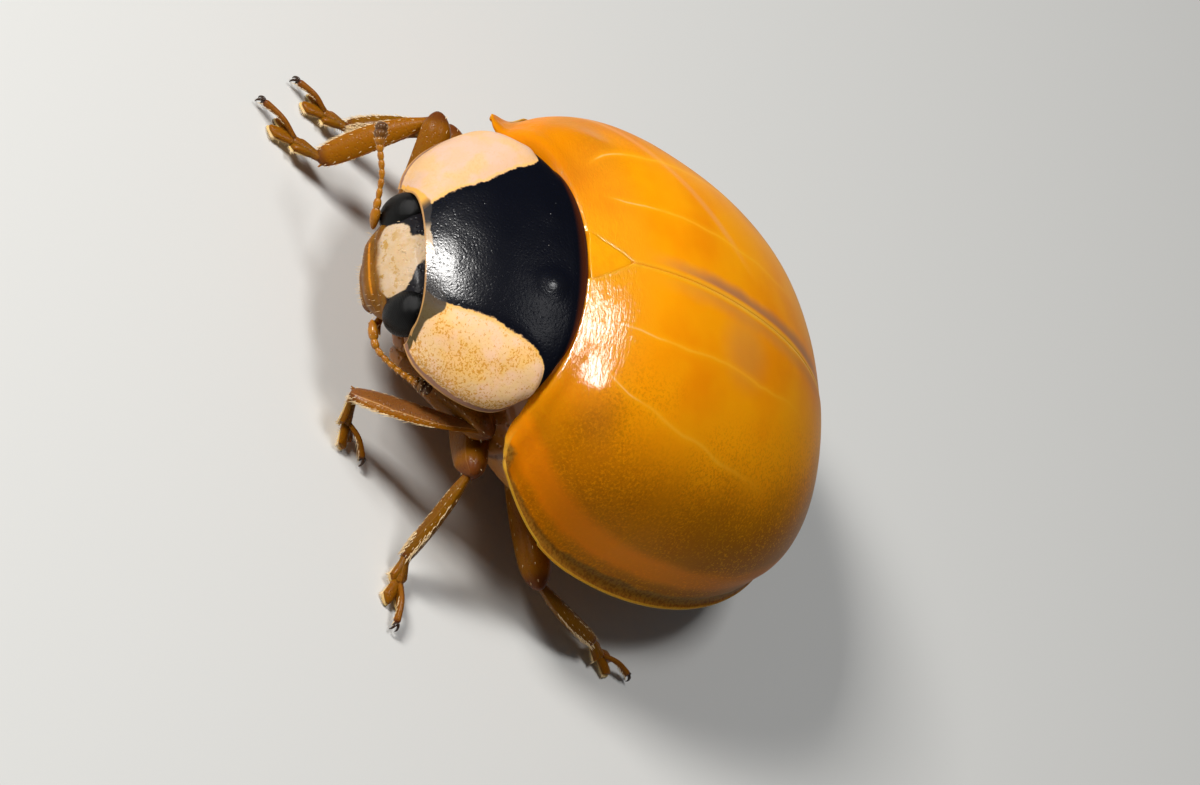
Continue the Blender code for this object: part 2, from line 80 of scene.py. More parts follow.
# The soft left shoulder is rounded, and the right one curls up to a point
RIGHT_FLARE = 0.165
LEFT_LIFT = 0.055
SHOULDER_SETBACKS = {1: (0.25, 1.69, 2.25), -1: (0.10, 1.60, 2.20)}  # side: depth, from x, to x
RIGHT_TUCK = 0.18
RIGHT_TIP_AT = 0.017
RIGHT_CURL_LENGTH = 0.21
BRIM_FRONT = 0.30
BRIM_REAR = 0.16
SHOULDER_CURVE = 2.48
TAIL_CURVE = 2.38
CREST_CURVE = 1.893
ARCH_CURVE = 0.765
DOME_SHARE = 0.86
DOME_EDGE = math.radians(78)
CASE_ROWS = 230
CASE_COLUMNS = 112
CASE_WALL = 0.24  # thickness of the shell on its crest
SHELF_WIDTH = 0.46
SEAM = 0.0015  # half the gap along the suture
BRIM_WALL = 0.038
CASE_MARGIN = 0.012  # the skin's smooth level lies this far inside the solid
INNER_VEIN_X = 0.80
OUTER_VEIN_X = 1.86
DIM_PATCH_AT = (0.55, 2.3, 2.35)

# Scutellum
SCUTELLUM_HALF_WIDTH = 0.30
SCUTELLUM_LENGTH = 0.50
SCUTELLUM_DEPTH = 0.20
SCUTELLUM_CLEARANCE = 0.005

# Pronotum: (share from front to back, half width, crest z, edge z, crest y, edge y)
PRONOTUM_STATIONS = (
    (0.00, 0.96, 0.98, 0.43, -1.64, -1.52),
    (0.20, 1.30, 1.27, 0.47, -1.38, -1.38),
    (0.45, 1.64, 1.59, 0.66, -1.02, -1.03),
    (0.70, 1.80, 1.84, 0.91, -0.62, -0.66),
    (0.88, 1.70, 1.98, 1.16, -0.28, -0.43),
    (1.00, 1.42, 2.02, 1.46, -0.10, -0.30),
)
PRONOTUM_ROWS = 96
PRONOTUM_COLUMNS = 190
PRONOTUM_EDGE = 0.013
PRONOTUM_CREST = 0.18
# The black field's border: (share from front to back, angle from the midline in degrees)
BLACK_FIELD = (
    (0.00, 33.0),
    (0.10, 34.5),
    (0.20, 34.5),
    (0.35, 33.0),
    (0.48, 34.0),
    (0.60, 37.0),
    (0.74, 43.0),
    (0.82, 52.0),
    (0.89, 72.0),
    (1.00, 100.0),
)
BLACK_FIELD_SHIFT = 2.0  # degrees towards the left
BUMP_AT = (0.47, -0.50, 1.87)  # the shiny bump of the black field
CHEST_SHRINK = 0.80  # the forebody below the pronotum, against the pronotum's width
CHEST_FRONT = 0.47
BELLY_Z = -0.42
WAIST_Y = -0.30
SEGMENT_Y = 1.62
TRUNK_END_Y = 4.90
TRUNK_GAP = 0.56  # between the outer face of the wing cases and the trunk
CHEST_PLATES = (0.30, 1.30)
BELLY_PLATES = (2.35, 2.90, 3.45, 3.95, 4.40)

# Head: (z, half width, front y)
HEAD_STATIONS = (
    (-0.16, 0.36, -1.52),
    (-0.06, 0.47, -1.60),
    (0.12, 0.61, -1.67),
    (0.34, 0.72, -1.67),
    (0.56, 0.74, -1.64),
    (0.74, 0.66, -1.57),
    (0.84, 0.46, -1.46),
)
HEAD_BACK_Y = -1.06
# The pale patch between the eyes, seen from the front: (x, z)
CREAM_FACE = (
    (-0.19, 1.10),
    (-0.22, 0.72),
    (-0.38, 0.67),
    (-0.43, 0.55),
    (-0.44, 0.34),
    (-0.30, 0.26),
    (0.00, 0.22),
    (0.30, 0.24),
    (0.46, 0.32),
    (0.49, 0.45),
    (0.44, 0.60),
    (0.34, 0.68),
    (0.22, 0.73),
    (0.09, 0.82),
    (0.05, 1.10),
)
EYE_CENTRE = (0.62, -1.42, 0.46)
EYE_RADII = (0.27, 0.25, 0.33)
LABRUM_CENTRE = (0.0, -1.365, -0.215)
PALP_ROUTE = ((0.34, -1.20, -0.18), (0.44, -1.24, -0.20), (0.54, -1.30, -0.20))
FEELER_ROUTES = {
    "left": ((0.66, -1.60, 0.06), (0.96, -1.52, 0.05), (1.23, -1.28, 0.18), (1.43, -1.02, 0.37)),
    "right": ((-0.55, -1.62, 0.15), (-0.70, -1.72, 0.31), (-1.00, -1.82, 0.50), (-1.30, -1.95, 0.61),
              (-1.52, -1.98, 0.68)),
}
# (length, half width) of the joints from the head outwards
FEELER_JOINTS = (
    (0.16, 0.060), (0.10, 0.048), (0.10, 0.037), (0.09, 0.036), (0.09, 0.036), (0.085, 0.037),
    (0.08, 0.038), (0.072, 0.044), (0.062, 0.066), (0.062, 0.086), (0.066, 0.078),
)
LAST_THIN_JOINT = 7  # the club starts after it

# Legs
TOE_HEIGHT = 0.11
SOLE_HEIGHT = 0.075
FRONT_SHIN_SIZE = (0.158, 0.066)  # half height, half thickness
SHIN_SIZE = (0.135, 0.092)
PAD_HAIRS = 64
# Hip, knee, ankle, and the toe's x and y
LEG_JOINTS = {
    "front_left": ((0.72, -0.78, -0.22), (1.76, -0.27, 0.52), (1.31, -1.41, -0.44), (1.80, -0.84)),
    "front_right": ((-0.72, -0.78, -0.22), (-2.02, -0.94, 0.57), (-1.76, -1.61, -0.66), (-2.36, -2.32)),
    "mid_left": ((0.82, 0.34, -0.38), (2.12, -0.20, 0.20), (2.89, -0.32, -0.74), (3.74, -0.38)),
    "mid_right": ((-0.82, 0.34, -0.38), (-2.26, -0.30, 0.16), (-2.36, -1.10, -0.70), (-2.84, -1.74)),
    "hind_left": ((0.98, 1.24, -0.42), (2.82, 1.46, -0.34), (3.02, 2.76, -0.72), (3.18, 3.58)),
    "hind_right": ((-0.98, 1.24, -0.42), (-2.74, 1.62, -0.34), (-2.92, 2.92, -0.72), (-3.04, 3.76)),
}

SCATTER = (1.0, 0.42, 0.12)  # how far red, green and blue light spread under the surface

# Colours of the wing cases, as linear red, green and blue
AMBER = (0.97, 0.335, 0.002)
DEEP_AMBER = (0.88, 0.255, 0.001)
SHIELD_AMBER = (0.92, 0.29, 0.002)
# painted shade: olive for the flank that faces away from the light, partly the darker body showing through
SHADED_OLIVE_AHEAD = (0.47, 0.146, 0.001)
SHADED_OLIVE_BEHIND = (0.24, 0.084, 0.001)
DARK_SPECK = (0.38, 0.12, 0.001)
LIGHT_SPECK = (1.0, 0.40, 0.004)
# painted sheen: a pink band standing for a grazing reflection on the right case
PINK_SHEEN = (0.80, 0.33, 0.10)
MAUVE_BAND = (0.40, 0.165, 0.070)
DIM_PATCH = (0.50, 0.21, 0.05)
# painted highlight: a light line along the suture
SUTURE_HIGHLIGHT = (0.96, 0.44, 0.04)
VEIN = (1.0, 0.38, 0.004)
VEIN_CORE = (1.0, 0.42, 0.02)
VEIN_CREASE = (0.97, 0.52, 0.18)
RIM_BAND = (0.98, 0.26, 0.001)
CLEAR_BRIM = (0.27, 0.140, 0.017)
BRIM_DOTS = (0.15, 0.070, 0.009)
RIM_LINE = (0.70, 0.33, 0.03)

# Colours of the neck shield; the left lobe is yellower than the right one
CREAM = {"right": (0.66, 0.42, 0.27), "left": (0.78, 0.50, 0.24)}
LILAC = {"right": (0.68, 0.43, 0.31), "left": (0.80, 0.50, 0.30)}
YELLOW_CLOUD = (0.80, 0.45, 0.10)
OCHRE_FLECK = (0.56, 0.23, 0.01)
LOBE_BORDER = (0.84, 0.44, 0.05)
BLUE_BLACK = (0.0025, 0.003, 0.006)
BLACK_REAR = (0.055, 0.012, 0.003)
DUST = (0.7, 0.7, 0.7)
STRIP_OVER_EYES = (0.032, 0.029, 0.029)
STRIP_OVER_FACE = (0.50, 0.36, 0.22)
STRIP_BESIDE_LOBE = {"right": (0.72, 0.36, 0.06), "left": (0.050, 0.040, 0.018)}
SIDE_BRIM = (0.26, 0.135, 0.09)
SHIELD_LINE = (0.50, 0.26, 0.09)

# Colours of the legs, head and underside: a pair is the light and the dark one of a soft mottle
THIGH = ((0.215, 0.074, 0.002), (0.12, 0.033, 0.006))
FRONT_SHIN = ((0.26, 0.088, 0.002), (0.14, 0.042, 0.006))
SHIN = ((0.17, 0.064, 0.001), (0.12, 0.034, 0.004))
HIND_FACE = (0.19, 0.070, 0.020)
# painted highlight along a shin's ridge
RIDGE_HIGHLIGHT = (0.80, 0.45, 0.20)
PITS = (0.07, 0.022, 0.006)
CLAW = (0.035, 0.016, 0.008)
PALE_PAD = (0.70, 0.46, 0.18)
GOLDEN_HAIR = (0.80, 0.60, 0.34)
EYE_BLACK = (0.001, 0.001, 0.001)
LIP = ((0.25, 0.09, 0.003), (0.17, 0.06, 0.003))
JAW = (0.22, 0.07, 0.012)
FEELER = ((0.42, 0.165, 0.008), (0.31, 0.105, 0.006))
FEELER_CLUB = (0.050, 0.024, 0.014)
FACE_CREAM = ((0.57, 0.42, 0.28), (0.55, 0.38, 0.21))
FACE_MARKS = (0.42, 0.22, 0.02)
FACE_BLACK = (0.008, 0.007, 0.009)
FACE_AMBER = ((0.23, 0.085, 0.002), (0.15, 0.052, 0.002))
FACE_MOTTLE = (0.17, 0.085, 0.010)
# painted highlight along the ledge over the mouth
FACE_RIDGE_HIGHLIGHT = (0.50, 0.17, 0.005)
UNDERSIDE = ((0.50, 0.19, 0.018), (0.34, 0.11, 0.010))
UNDERSIDE_MIDDLE = (0.16, 0.055, 0.012)
PLATE_SEAM = (0.14, 0.045, 0.010)


def seat(points):
    """Points of the beetle's frame in millimetres, as places in metres over the floor."""
    offset = np.array((-FOOTPRINT_X, -FOOTPRINT_Y, RIM_HEIGHT))
    return (np.asarray(points, float) + offset) * MM


def smooth_step(low, high, value):
    share = np.clip((np.asarray(value, float) - low) / (high - low), 0.0, 1.0)
    return share * share * (3 - 2 * share)


def hump(distance, width):
    """A smooth bump of height 1 at distance 0."""
    return np.exp(-((np.asarray(distance, float) / width) ** 2))


def rough_field(points, scale, seed):
    """Smooth noise between about -1 and 1 at each point; scale is in features for each millimetre."""
    shift = Vector((seed * 17.3, seed * 5.1, seed * 9.7))
    stretch = Vector(scale) if hasattr(scale, "__len__") else Vector((scale, scale, scale))
    flat = points.reshape(-1, 3)
    values = [noise.noise(Vector(point) * stretch + shift) for point in flat]
    return np.array(values).reshape(points.shape[:-1])


def stations_at(stations, share):
    """The row of station values at a share, on a smooth curve through the stations."""
    last = len(stations) - 2
    index = 0
    while index < last and share > stations[index + 1][0]:
        index += 1
    before = stations[max(index - 1, 0)]
    start, end = stations[index], stations[index + 1]
    after = stations[min(index + 2, len(stations) - 1)]
    span = end[0] - start[0]
    t = (share - start[0]) / span
    row = []
    for a, b, c, d in zip(before[1:], start[1:], end[1:], after[1:]):
        slope_in = (c - a) / max(end[0] - before[0], 1e-9) * span
        slope_out = (d - b) / max(after[0] - start[0], 1e-9) * span
        row.append(
            (2 * t**3 - 3 * t**2 + 1) * b
            + (t**3 - 2 * t**2 + t) * slope_in
            + (3 * t**2 - 2 * t**3) * c
            + (t**3 - t**2) * slope_out
        )
    return row


def eased(share, strength):
    """A share from 0 to 1 whose steps are closer together at both ends."""
    return share - strength * math.sin(2 * math.pi * share) / (2 * math.pi)


def unit(vector):
    vector = np.asarray(vector, float)
    return vector / np.linalg.norm(vector, axis=-1, keepdims=True)


def curved(t, start, bend, end):
    """A place at t from 0 to 1 on the way from start to end, drawn towards a bend."""
    return (1 - t) ** 2 * start + 2 * t * (1 - t) * bend + t * t * end


def walked(points, axis):
    """Distances along one axis of a grid of points, from its first row or column."""
    steps = np.linalg.norm(np.diff(points, axis=axis), axis=-1)
    start = np.zeros_like(np.take(steps, [0], axis=axis))
    return np.concatenate([start, np.cumsum(steps, axis=axis)], axis=axis)


# Meshes


def add_object(name, data):
    made = bpy.data.objects.new(name, data)
    bpy.context.scene.collection.objects.link(made)
    return made


def tidy_mesh(mesh):
    """Merges coinciding points and turns the faces outwards."""
    shape = bmesh.new()
    shape.from_mesh(mesh)
    bmesh.ops.remove_doubles(shape, verts=shape.verts[:], dist=MERGE_DISTANCE)
    bmesh.ops.recalc_face_normals(shape, faces=shape.faces[:])
    shape.to_mesh(mesh)
    shape.free()
    mesh.shade_smooth()


def add_skin(name, *stacks):
    """Closed skins over stacks of rings, each (rings, fields) with rings of shape (rows, points, 3).

    A stack is closed where its first and last rings are folded onto themselves.
    """
    points, quads, columns = [], [], {}
    for rings, fields in stacks:
        rows, size, _ = rings.shape
        index = np.arange(rows * size).reshape(rows, size) + sum(len(part) for part in points)
        turned = np.roll(index, -1, axis=1)
        quads.append(np.stack([index[:-1], turned[:-1], turned[1:], index[1:]], axis=-1).reshape(-1, 4))
        points.append(rings.reshape(-1, 3))
        for field, values in fields.items():
            columns.setdefault(field, []).append(np.asarray(values, np.float32).ravel())
    mesh = bpy.data.meshes.new(name)
    mesh.from_pydata(seat(np.concatenate(points)).tolist(), [], np.concatenate(quads).tolist())
    for field, values in columns.items():
        layer = mesh.attributes.new(field, "FLOAT", "POINT")
        layer.data.foreach_set("value", np.concatenate(values))
    tidy_mesh(mesh)
    return add_object(name, mesh)


def blob_rings(centre, radii, turn=None, rows=14, columns=22):
    """An ellipsoid as rings; turn is a 3 x 3 matrix whose rows are its own axes."""
    turn = np.eye(3) if turn is None else np.asarray(turn)
    rings = []
    for row in range(rows + 1):
        tilt = math.pi * row / rows
        around = [2 * math.pi * column / columns for column in range(columns)]
        ring = [(math.sin(tilt) * math.cos(a), math.sin(tilt) * math.sin(a), math.cos(tilt)) for a in around]
        rings.append(np.array(centre) + (np.array(ring) * radii) @ turn)
    return np.array(rings)


def place_piece(piece, nodes=()):
    """Gives a piece its body, and hides the nodes of the solids it stands for."""
    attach(piece, "root")
    if nodes:
        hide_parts(*nodes)
    return piece


def finish_piece(piece, material, nodes=()):
    piece.data.materials.clear()
    piece.data.materials.append(material)
    return place_piece(piece, nodes)


def surface_normals(grid):
    """Unit normals of a grid of points (rows, columns, 3)."""
    normals = np.cross(np.gradient(grid, axis=1), np.gradient(grid, axis=0))
    return normals / np.maximum(np.linalg.norm(normals, axis=-1, keepdims=True), 1e-9)


def closing_rings(ring, middle, forward, steps, reach):
    """Rings that round off an open end: they shrink onto the wall's middle line and bulge forward."""
    rings = []
    for step in range(1, steps + 1):
        angle = math.radians(90 * step / steps)
        rings.append(middle + (ring - middle) * math.cos(angle) + forward * reach * math.sin(angle))
    return rings


def wrapped(upper, edge, lower, *seam):
    """Rings round a shell: across its upper face, over its edge and back along its lower face."""
    return np.concatenate([upper, edge, lower[:, ::-1], *seam], axis=1)


def padded(values, before, after):
    """Values of some rings, repeated for the rings that close their ends."""
    return np.concatenate([np.repeat(values[:1], before, 0), values, np.repeat(values[-1:], after, 0)])


def capped(front, rings, rear):
    """Rings between the ones that close their ends, which are made from the opening outwards."""
    return np.array([*front[::-1], *rings, *rear])


# Materials


class Value:
    """A number that varies over a piece. Arithmetic with it adds maths nodes."""

    def __init__(self, nodes, socket):
        self.nodes, self.socket = nodes, socket

    def __add__(self, other):
        return self.nodes.maths("ADD", self, other)

    def __sub__(self, other):
        return self.nodes.maths("SUBTRACT", self, other)

    def __rsub__(self, other):
        return self.nodes.maths("SUBTRACT", other, self)

    def __mul__(self, other):
        return self.nodes.maths("MULTIPLY", self, other)

    def __abs__(self):
        return self.nodes.maths("ABSOLUTE", self)


class Nodes:
    """Adds nodes to a tree and joins them."""

    def node(self, kind, inputs=None, **settings):
        made = self.tree.nodes.new(kind)
        for key, value in settings.items():
            setattr(made, key, value)
        for socket, value in (inputs or {}).items():
            self.join(value, made.inputs[socket])
        return made

    def join(self, source, target):
        """Links an output to an input, or sets the input to a plain value."""
        if isinstance(source, Value):
            source = source.socket
        if isinstance(source, bpy.types.NodeSocket):
            self.tree.links.new(source, target)
        elif hasattr(source, "__len__") and len(source) == 3 and target.type == "RGBA":
            target.default_value = (*source, 1.0)
        else:
            target.default_value = source

    def maths(self, operation, first, second=0.0):
        made = self.node("ShaderNodeMath", {0: first, 1: second}, operation=operation)
        return Value(self, made.outputs[0])


class Finish(Nodes):
    """One material's nodes, made from left to right. Lengths on the surface are in millimetres."""

    def __init__(self, name, roughness, coat=0.0, coat_roughness=0.05, glow=0.0, glow_reach=0.3, gloss=0.4):
        self.material = bpy.data.materials.new(name)
        self.material.use_nodes = True
        self.tree = self.material.node_tree
        self.shader = self.tree.nodes["Principled BSDF"]
        self.set("Roughness", roughness)
        self.set("Specular IOR Level", gloss)
        self.set("Coat Weight", coat)
        self.set("Coat Roughness", coat_roughness)
        self.set("Subsurface Weight", glow)
        self.set("Subsurface Scale", glow_reach * MM)
        self.set("Subsurface Radius", SCATTER)
        self.place = self.node("ShaderNodeMapping", {
            "Vector": self.node("ShaderNodeTexCoord").outputs["Object"],
            "Location": (FOOTPRINT_X, FOOTPRINT_Y, -RIM_HEIGHT),
            "Scale": (1 / MM, 1 / MM, 1 / MM),
        }).outputs["Vector"]
        self.axes = self.node("ShaderNodeSeparateXYZ", {0: self.place}).outputs
        self.heights = None
        self.colour = None

    def set(self, socket, value):
        self.join(value, self.shader.inputs[socket])

    def field(self, name):
        return Value(self, self.node("ShaderNodeAttribute", attribute_name=name).outputs["Fac"])

    def axis(self, letter):
        return Value(self, self.axes[letter])

    def distance(self, point):
        """The distance from a point of the beetle's frame."""
        made = self.node("ShaderNodeVectorMath", {0: self.place, 1: point}, operation="DISTANCE")
        return Value(self, made.outputs["Value"])

    def stretched(self, scale):
        """The place on the piece, with another number of millimetres to the unit on each axis."""
        return self.node("ShaderNodeVectorMath", {0: self.place, 1: scale}, operation="MULTIPLY").outputs[0]

    def grain(self, scale, detail=2.0, roughness=0.5, distortion=0.0, place=None):
        """Noise from 0 to 1, with scale features for each millimetre."""
        sizes = {"Scale": scale, "Detail": detail, "Roughness": roughness, "Distortion": distortion}
        made = self.node("ShaderNodeTexNoise", {"Vector": place or self.place, **sizes})
        return Value(self, made.outputs["Fac"])

    def cells(self, scale):
        """Distance to the nearest of scattered points, in cells."""
        made = self.node("ShaderNodeTexVoronoi", {"Vector": self.place, "Scale": scale})
        return Value(self, made.outputs["Distance"])

    def between(self, value, low, high, start=0.0, end=1.0):
        """A smooth change from start to end while the value goes from low to high."""
        made = self.node("ShaderNodeMapRange", interpolation_type="SMOOTHSTEP")
        for socket, entry in zip(made.inputs[:5], (value, low, high, start, end)):
            self.join(entry, socket)
        return Value(self, made.outputs["Result"])

    def line(self, distance, width, soft=0.6):
        """1 on a line where the distance is 0, and 0 beyond its width."""
        return self.between(abs(distance), width * (1 - soft), width, 1.0, 0.0)

    def mix(self, share, first, second):
        made = self.node("ShaderNodeMix", data_type="RGBA")
        for socket, entry in (("Factor", share), ("A", first), ("B", second)):
            self.join(entry, made.inputs[socket])
        return made.outputs["Result"]

    def raise_surface(self, height, depth):
        """Adds relief: height from 0 to 1, depth in millimetres."""
        made = self.node("ShaderNodeBump", {"Strength": 1.0, "Distance": depth * MM, "Height": height})
        if self.heights:
            self.join(self.heights, made.inputs["Normal"])
        self.heights = made.outputs["Normal"]
        self.set("Normal", self.heights)
        self.set("Coat Normal", self.heights)

    def paint(self, share, colour):
        """Covers a share of what is painted so far with another colour."""
        self.colour = self.mix(share, self.colour, colour)

    def done(self):
        self.set("Base Color", self.colour)
        return self.material


# Wing cases


def swelling(share, most, most_at, base_ratio, base_curve, tail_curve):
    """A measure that grows from the base to its most, and then falls to 0 at the tail."""
    if share < most_at:
        ahead = (most_at - share) / most_at
        return most * (1 - (1 - base_ratio) * ahead**base_curve)
    behind = min((share - most_at) / (1 - most_at), 1.0)
    return most * (1 - behind**tail_curve) ** (1 / tail_curve)


def case_half_width(share):
    return swelling(share, CASE_HALF_WIDTH, WIDEST_AT, SHOULDER_WIDTH_RATIO, SHOULDER_CURVE, TAIL_CURVE)


def case_crest(share):
    return swelling(share, CASE_HEIGHT, HIGHEST_AT, BASE_HEIGHT_RATIO, 2, CREST_CURVE)


def case_rim(share):
    return min(RIM_RISE * (1 - share) ** RIM_RISE_POWER + 0.05 * share**3, case_crest(share))


def case_base_y(x, side):
    """The front edge of the wing cases, which runs forward towards each shoulder."""
    edge = CASE_NOTCH_Y - (CASE_NOTCH_Y - CASE_FRONT_Y) * min(abs(x) / SHOULDER_X, 1.0) ** 2.2
    depth, inner, outer = SHOULDER_SETBACKS[side]
    return edge + depth * float(smooth_step(inner, outer, abs(x)))


def case_section(share, step, side=1):
    """Outer face of a case: |x| and z at a share of its length, step 0 midline to 1 rim."""
    half = case_half_width(share)
    brim = BRIM_FRONT + (BRIM_REAR - BRIM_FRONT) * min(share / 0.35, 1.0)
    brim = min(brim * (1 - 0.65 * float(smooth_step(0.4, 0.8, share))), 0.5 * half)
    dome = half - brim
    flare = 0.0
    if side < 0:
        curled = min(max(share - RIGHT_TIP_AT, 0.0) / RIGHT_CURL_LENGTH, 1.0)
        half -= RIGHT_TUCK * math.sin(math.pi * curled)
        flare = RIGHT_FLARE * (1 - min(share / RIGHT_CURL_LENGTH, 1.0) ** 1.6)
    crest = case_crest(share)
    rim = case_rim(share) + (LEFT_LIFT * (1 - share) ** 6 if side > 0 else 0.0)
    angle = min(step / DOME_SHARE, 1.0) * DOME_EDGE
    x, z = dome * math.sin(angle), rim + (crest - rim) * math.cos(angle) ** ARCH_CURVE
    if step <= DOME_SHARE:
        return x, z
    t = (step - DOME_SHARE) / (1 - DOME_SHARE)
    return curved(t, x, 0.9 * dome + 0.1 * half, half), curved(t, z, rim + 1.6 * flare, rim + flare)


def scutellum_half_width(y):
    along = (y - CASE_NOTCH_Y) / SCUTELLUM_LENGTH
    return SCUTELLUM_HALF_WIDTH * max(1 - along, 0.0) ** 0.85


def midline_step(share):
    """The step of a section where the case starts, beside the midline or the scutellum."""
    y = CASE_FRONT_Y + CASE_LENGTH * share
    beside = SCUTELLUM_CLEARANCE if y < CASE_NOTCH_Y + SCUTELLUM_LENGTH else 0
    inner_x = SEAM + scutellum_half_width(y) + beside
    dome = max(case_half_width(share) - BRIM_REAR, 0.2)
    return min(DOME_SHARE * math.asin(min(inner_x / dome, 0.9)) / DOME_EDGE, 0.5)


def case_step(share, spread):
    first = midline_step(share)
    return first + (1 - first) * spread


def base_share(spread, side):
    """The share of the case's length where its front edge lies, at a spread from midline to rim."""
    share = 0.05
    for _ in range(6):
        x, _z = case_section(share, case_step(share, spread))
        share = (case_base_y(x, side) - CASE_FRONT_Y) / CASE_LENGTH
    return share


def inside_case(share, step, side):
    """The point on the inner face: a wall below the dome, and a shelf in from the rim."""
    x, z = case_section(share, step, side)
    shelf = 0.07 + (SHELF_WIDTH - 0.07) * float(smooth_step(0.0, 0.12, share))
    inward = 1 - shelf / max(case_half_width(share), SHELF_WIDTH * 1.6)
    low = case_rim(share) - 0.02
    height = case_crest(share) - low
    lower = max(1 - CASE_WALL / max(height, CASE_WALL * 1.6), 0.35)
    y = CASE_FRONT_Y + CASE_LENGTH * share - CASE_WALL * share**2
    return x * inward, y, low + (z - low) * lower


def case_grids(side):
    """Outer and inner faces of a case, from base to tail and from suture to rim, drawn on the left."""
    outer = np.zeros((CASE_ROWS, CASE_COLUMNS + 1, 3))
    inner = np.zeros_like(outer)
    for column in range(CASE_COLUMNS + 1):
        spread = eased(column / CASE_COLUMNS, 0.55)
        start = base_share(spread, side)
        for row in range(CASE_ROWS):
            back = 1 - (1 - row / CASE_ROWS) ** 1.7
            share = start + (1 - start) * back
            step = case_step(share, spread)
            x, z = case_section(share, step, side)
            outer[row, column] = (x, CASE_FRONT_Y + CASE_LENGTH * share, z)
            inner[row, column] = inside_case(share, step, side)
    inner[:, :, 0] = np.maximum(inner[:, :, 0], outer[:, :1, 0])
    return outer, inner


def case_fields(outer, side):
    """Distances on the outer face that its pattern and relief follow, in millimetres."""
    x, y, _z = np.moveaxis(outer, -1, 0)
    from_suture = walked(outer, 1)
    return {
        "from_rim": from_suture[:, -1:] - from_suture,
        "from_base": y - np.vectorize(case_base_y)(x, side),
        "from_suture": from_suture,
        "inner_vein": x - INNER_VEIN_X - 0.05 * np.sin(1.1 * y),
        "outer_vein": x - OUTER_VEIN_X + 0.42 * np.exp(-(y - 0.35) / 0.75),
    }


def case_relief(outer, fields, side):
    """How far the outer face stands proud of its smooth shape, in millimetres."""
    x, y, _z = np.moveaxis(outer, -1, 0)
    mirrored = outer * np.array((side, 1, 1))
    base, rim, suture = fields["from_base"], fields["from_rim"], fields["from_suture"]
    shoulder = 0.080 * np.exp(-(((x - 1.68) / 0.30) ** 2) - ((y - 0.20) / 0.36) ** 2)
    seam_edge = -0.005 * hump(suture, 0.014)
    lateral = smooth_step(1.0, 1.4, x)
    front_lip = lateral * (0.010 * hump(base - 0.06, 0.035) - 0.008 * hump(base - 0.17, 0.06))
    rim_bead = 0.004 * hump(rim - 0.012, 0.012) - 0.010 * hump(rim - 0.10, 0.05)
    crumpled = (1 - smooth_step(0.20, 0.75, base)) * smooth_step(0.0, 0.05, base)
    wrinkles = rough_field(mirrored, (6.0, 14.0, 10.0), 3 + side) * 0.004 * crumpled
    crinkles = rough_field(mirrored, (18.0, 36.0, 26.0), 5 + side) * 0.0032 * crumpled
    waves = 0.010 * rough_field(mirrored, (1.1, 0.9, 1.1), 7 + side)
    calm_edges = smooth_step(0.0, 0.10, rim) * smooth_step(0.0, 0.05, suture)
    relief = shoulder + seam_edge + rim_bead - CASE_MARGIN
    return relief + (front_lip + wrinkles + crinkles + waves) * calm_edges


def under_brim(outer_edge, inner_edge, steps=6):
    """Points from the rim's edge, round it and in along the turned-under strip."""
    edge = outer_edge + np.array((0.012, 0.0, -0.5 * BRIM_WALL))
    low_edge = outer_edge + np.array((-0.01, 0.0, -BRIM_WALL))
    bend = 0.5 * (low_edge + inner_edge) + np.array((0.0, 0.0, -0.05))
    strip = [curved(step / steps, low_edge, bend, inner_edge) for step in range(steps)]
    return np.stack([edge, *strip], axis=1)


def make_wing_case(name, side, material):
    outer, inner = case_grids(side)
    fields = case_fields(outer, side)
    normals = surface_normals(outer)
    normals *= np.sign((normals * (outer - np.array((0.0, 2.4, 0.0)))).sum(-1, keepdims=True))
    outer = outer + normals * case_relief(outer, fields, side)[..., None]
    outer[..., 0] = np.maximum(outer[..., 0], SEAM)
    outer[..., 1] = np.minimum(outer[..., 1], CASE_FRONT_Y + CASE_LENGTH - 0.003)
    brim = under_brim(outer[:, -1], inner[:, -1])

    def over_brim(values):
        return wrapped(values, np.repeat(values[:, -1:], brim.shape[1], axis=1), values)

    rings = wrapped(outer, brim, inner)
    folded = over_brim(0.5 * (outer + inner))
    forward = over_brim(unit(outer[:1] - outer[1:2]))
    front = closing_rings(rings[0], folded[0], forward[0], 5, 0.045)
    tip = np.broadcast_to(np.array((SEAM, CASE_FRONT_Y + CASE_LENGTH, 0.045)), rings[0].shape)
    rings = capped(front, rings, [tip]) * np.array((side, 1, 1))
    fields = {field: padded(over_brim(values), len(front), 1) for field, values in fields.items()}
    piece = add_skin(name, (rings, fields))
    return finish_piece(piece, material, [name.replace("wing_case", "elytron")])


def paint_flank(look):
    """Orange horn; the flank is finely speckled, and browner and olive towards the tail: partly painted
    shade, partly the body below.
    """
    rim, tail, x = look.field("from_rim"), look.axis("Y"), look.axis("X")
    look.colour = look.mix(look.between(look.grain(0.8, detail=3.0), 0.40, 0.72), AMBER, DEEP_AMBER)
    # painted shade: darker olive towards the rim, partly shade and partly the body showing through the flank
    flank = look.between(rim + look.grain(1.1) * 0.8, 2.9, 1.5)
    olive = look.mix(look.between(tail, 1.2, 3.2), SHADED_OLIVE_AHEAD, SHADED_OLIVE_BEHIND)
    look.paint(flank * look.between(tail, 1.5, 4.0, 0.70, 0.90), olive)
    fine = look.grain(30.0, detail=2.0, roughness=0.6, distortion=0.4)
    reach = look.between(rim, 3.1, 1.9) * look.between(look.field("from_base"), 0.1, 0.5)
    reach = reach * look.between(x, -0.1, 0.1, 0.25, 1.0)
    speckled = look.between(look.grain(1.2, place=look.stretched((1.0, 0.8, 0.7))), 0.26, 0.54) * reach
    look.paint(look.between(fine, 0.50, 0.62) * speckled * 0.38, DARK_SPECK)
    look.paint(look.between(fine, 0.46, 0.36) * speckled * 0.4, LIGHT_SPECK)
    look.raise_surface(fine, 0.0012)


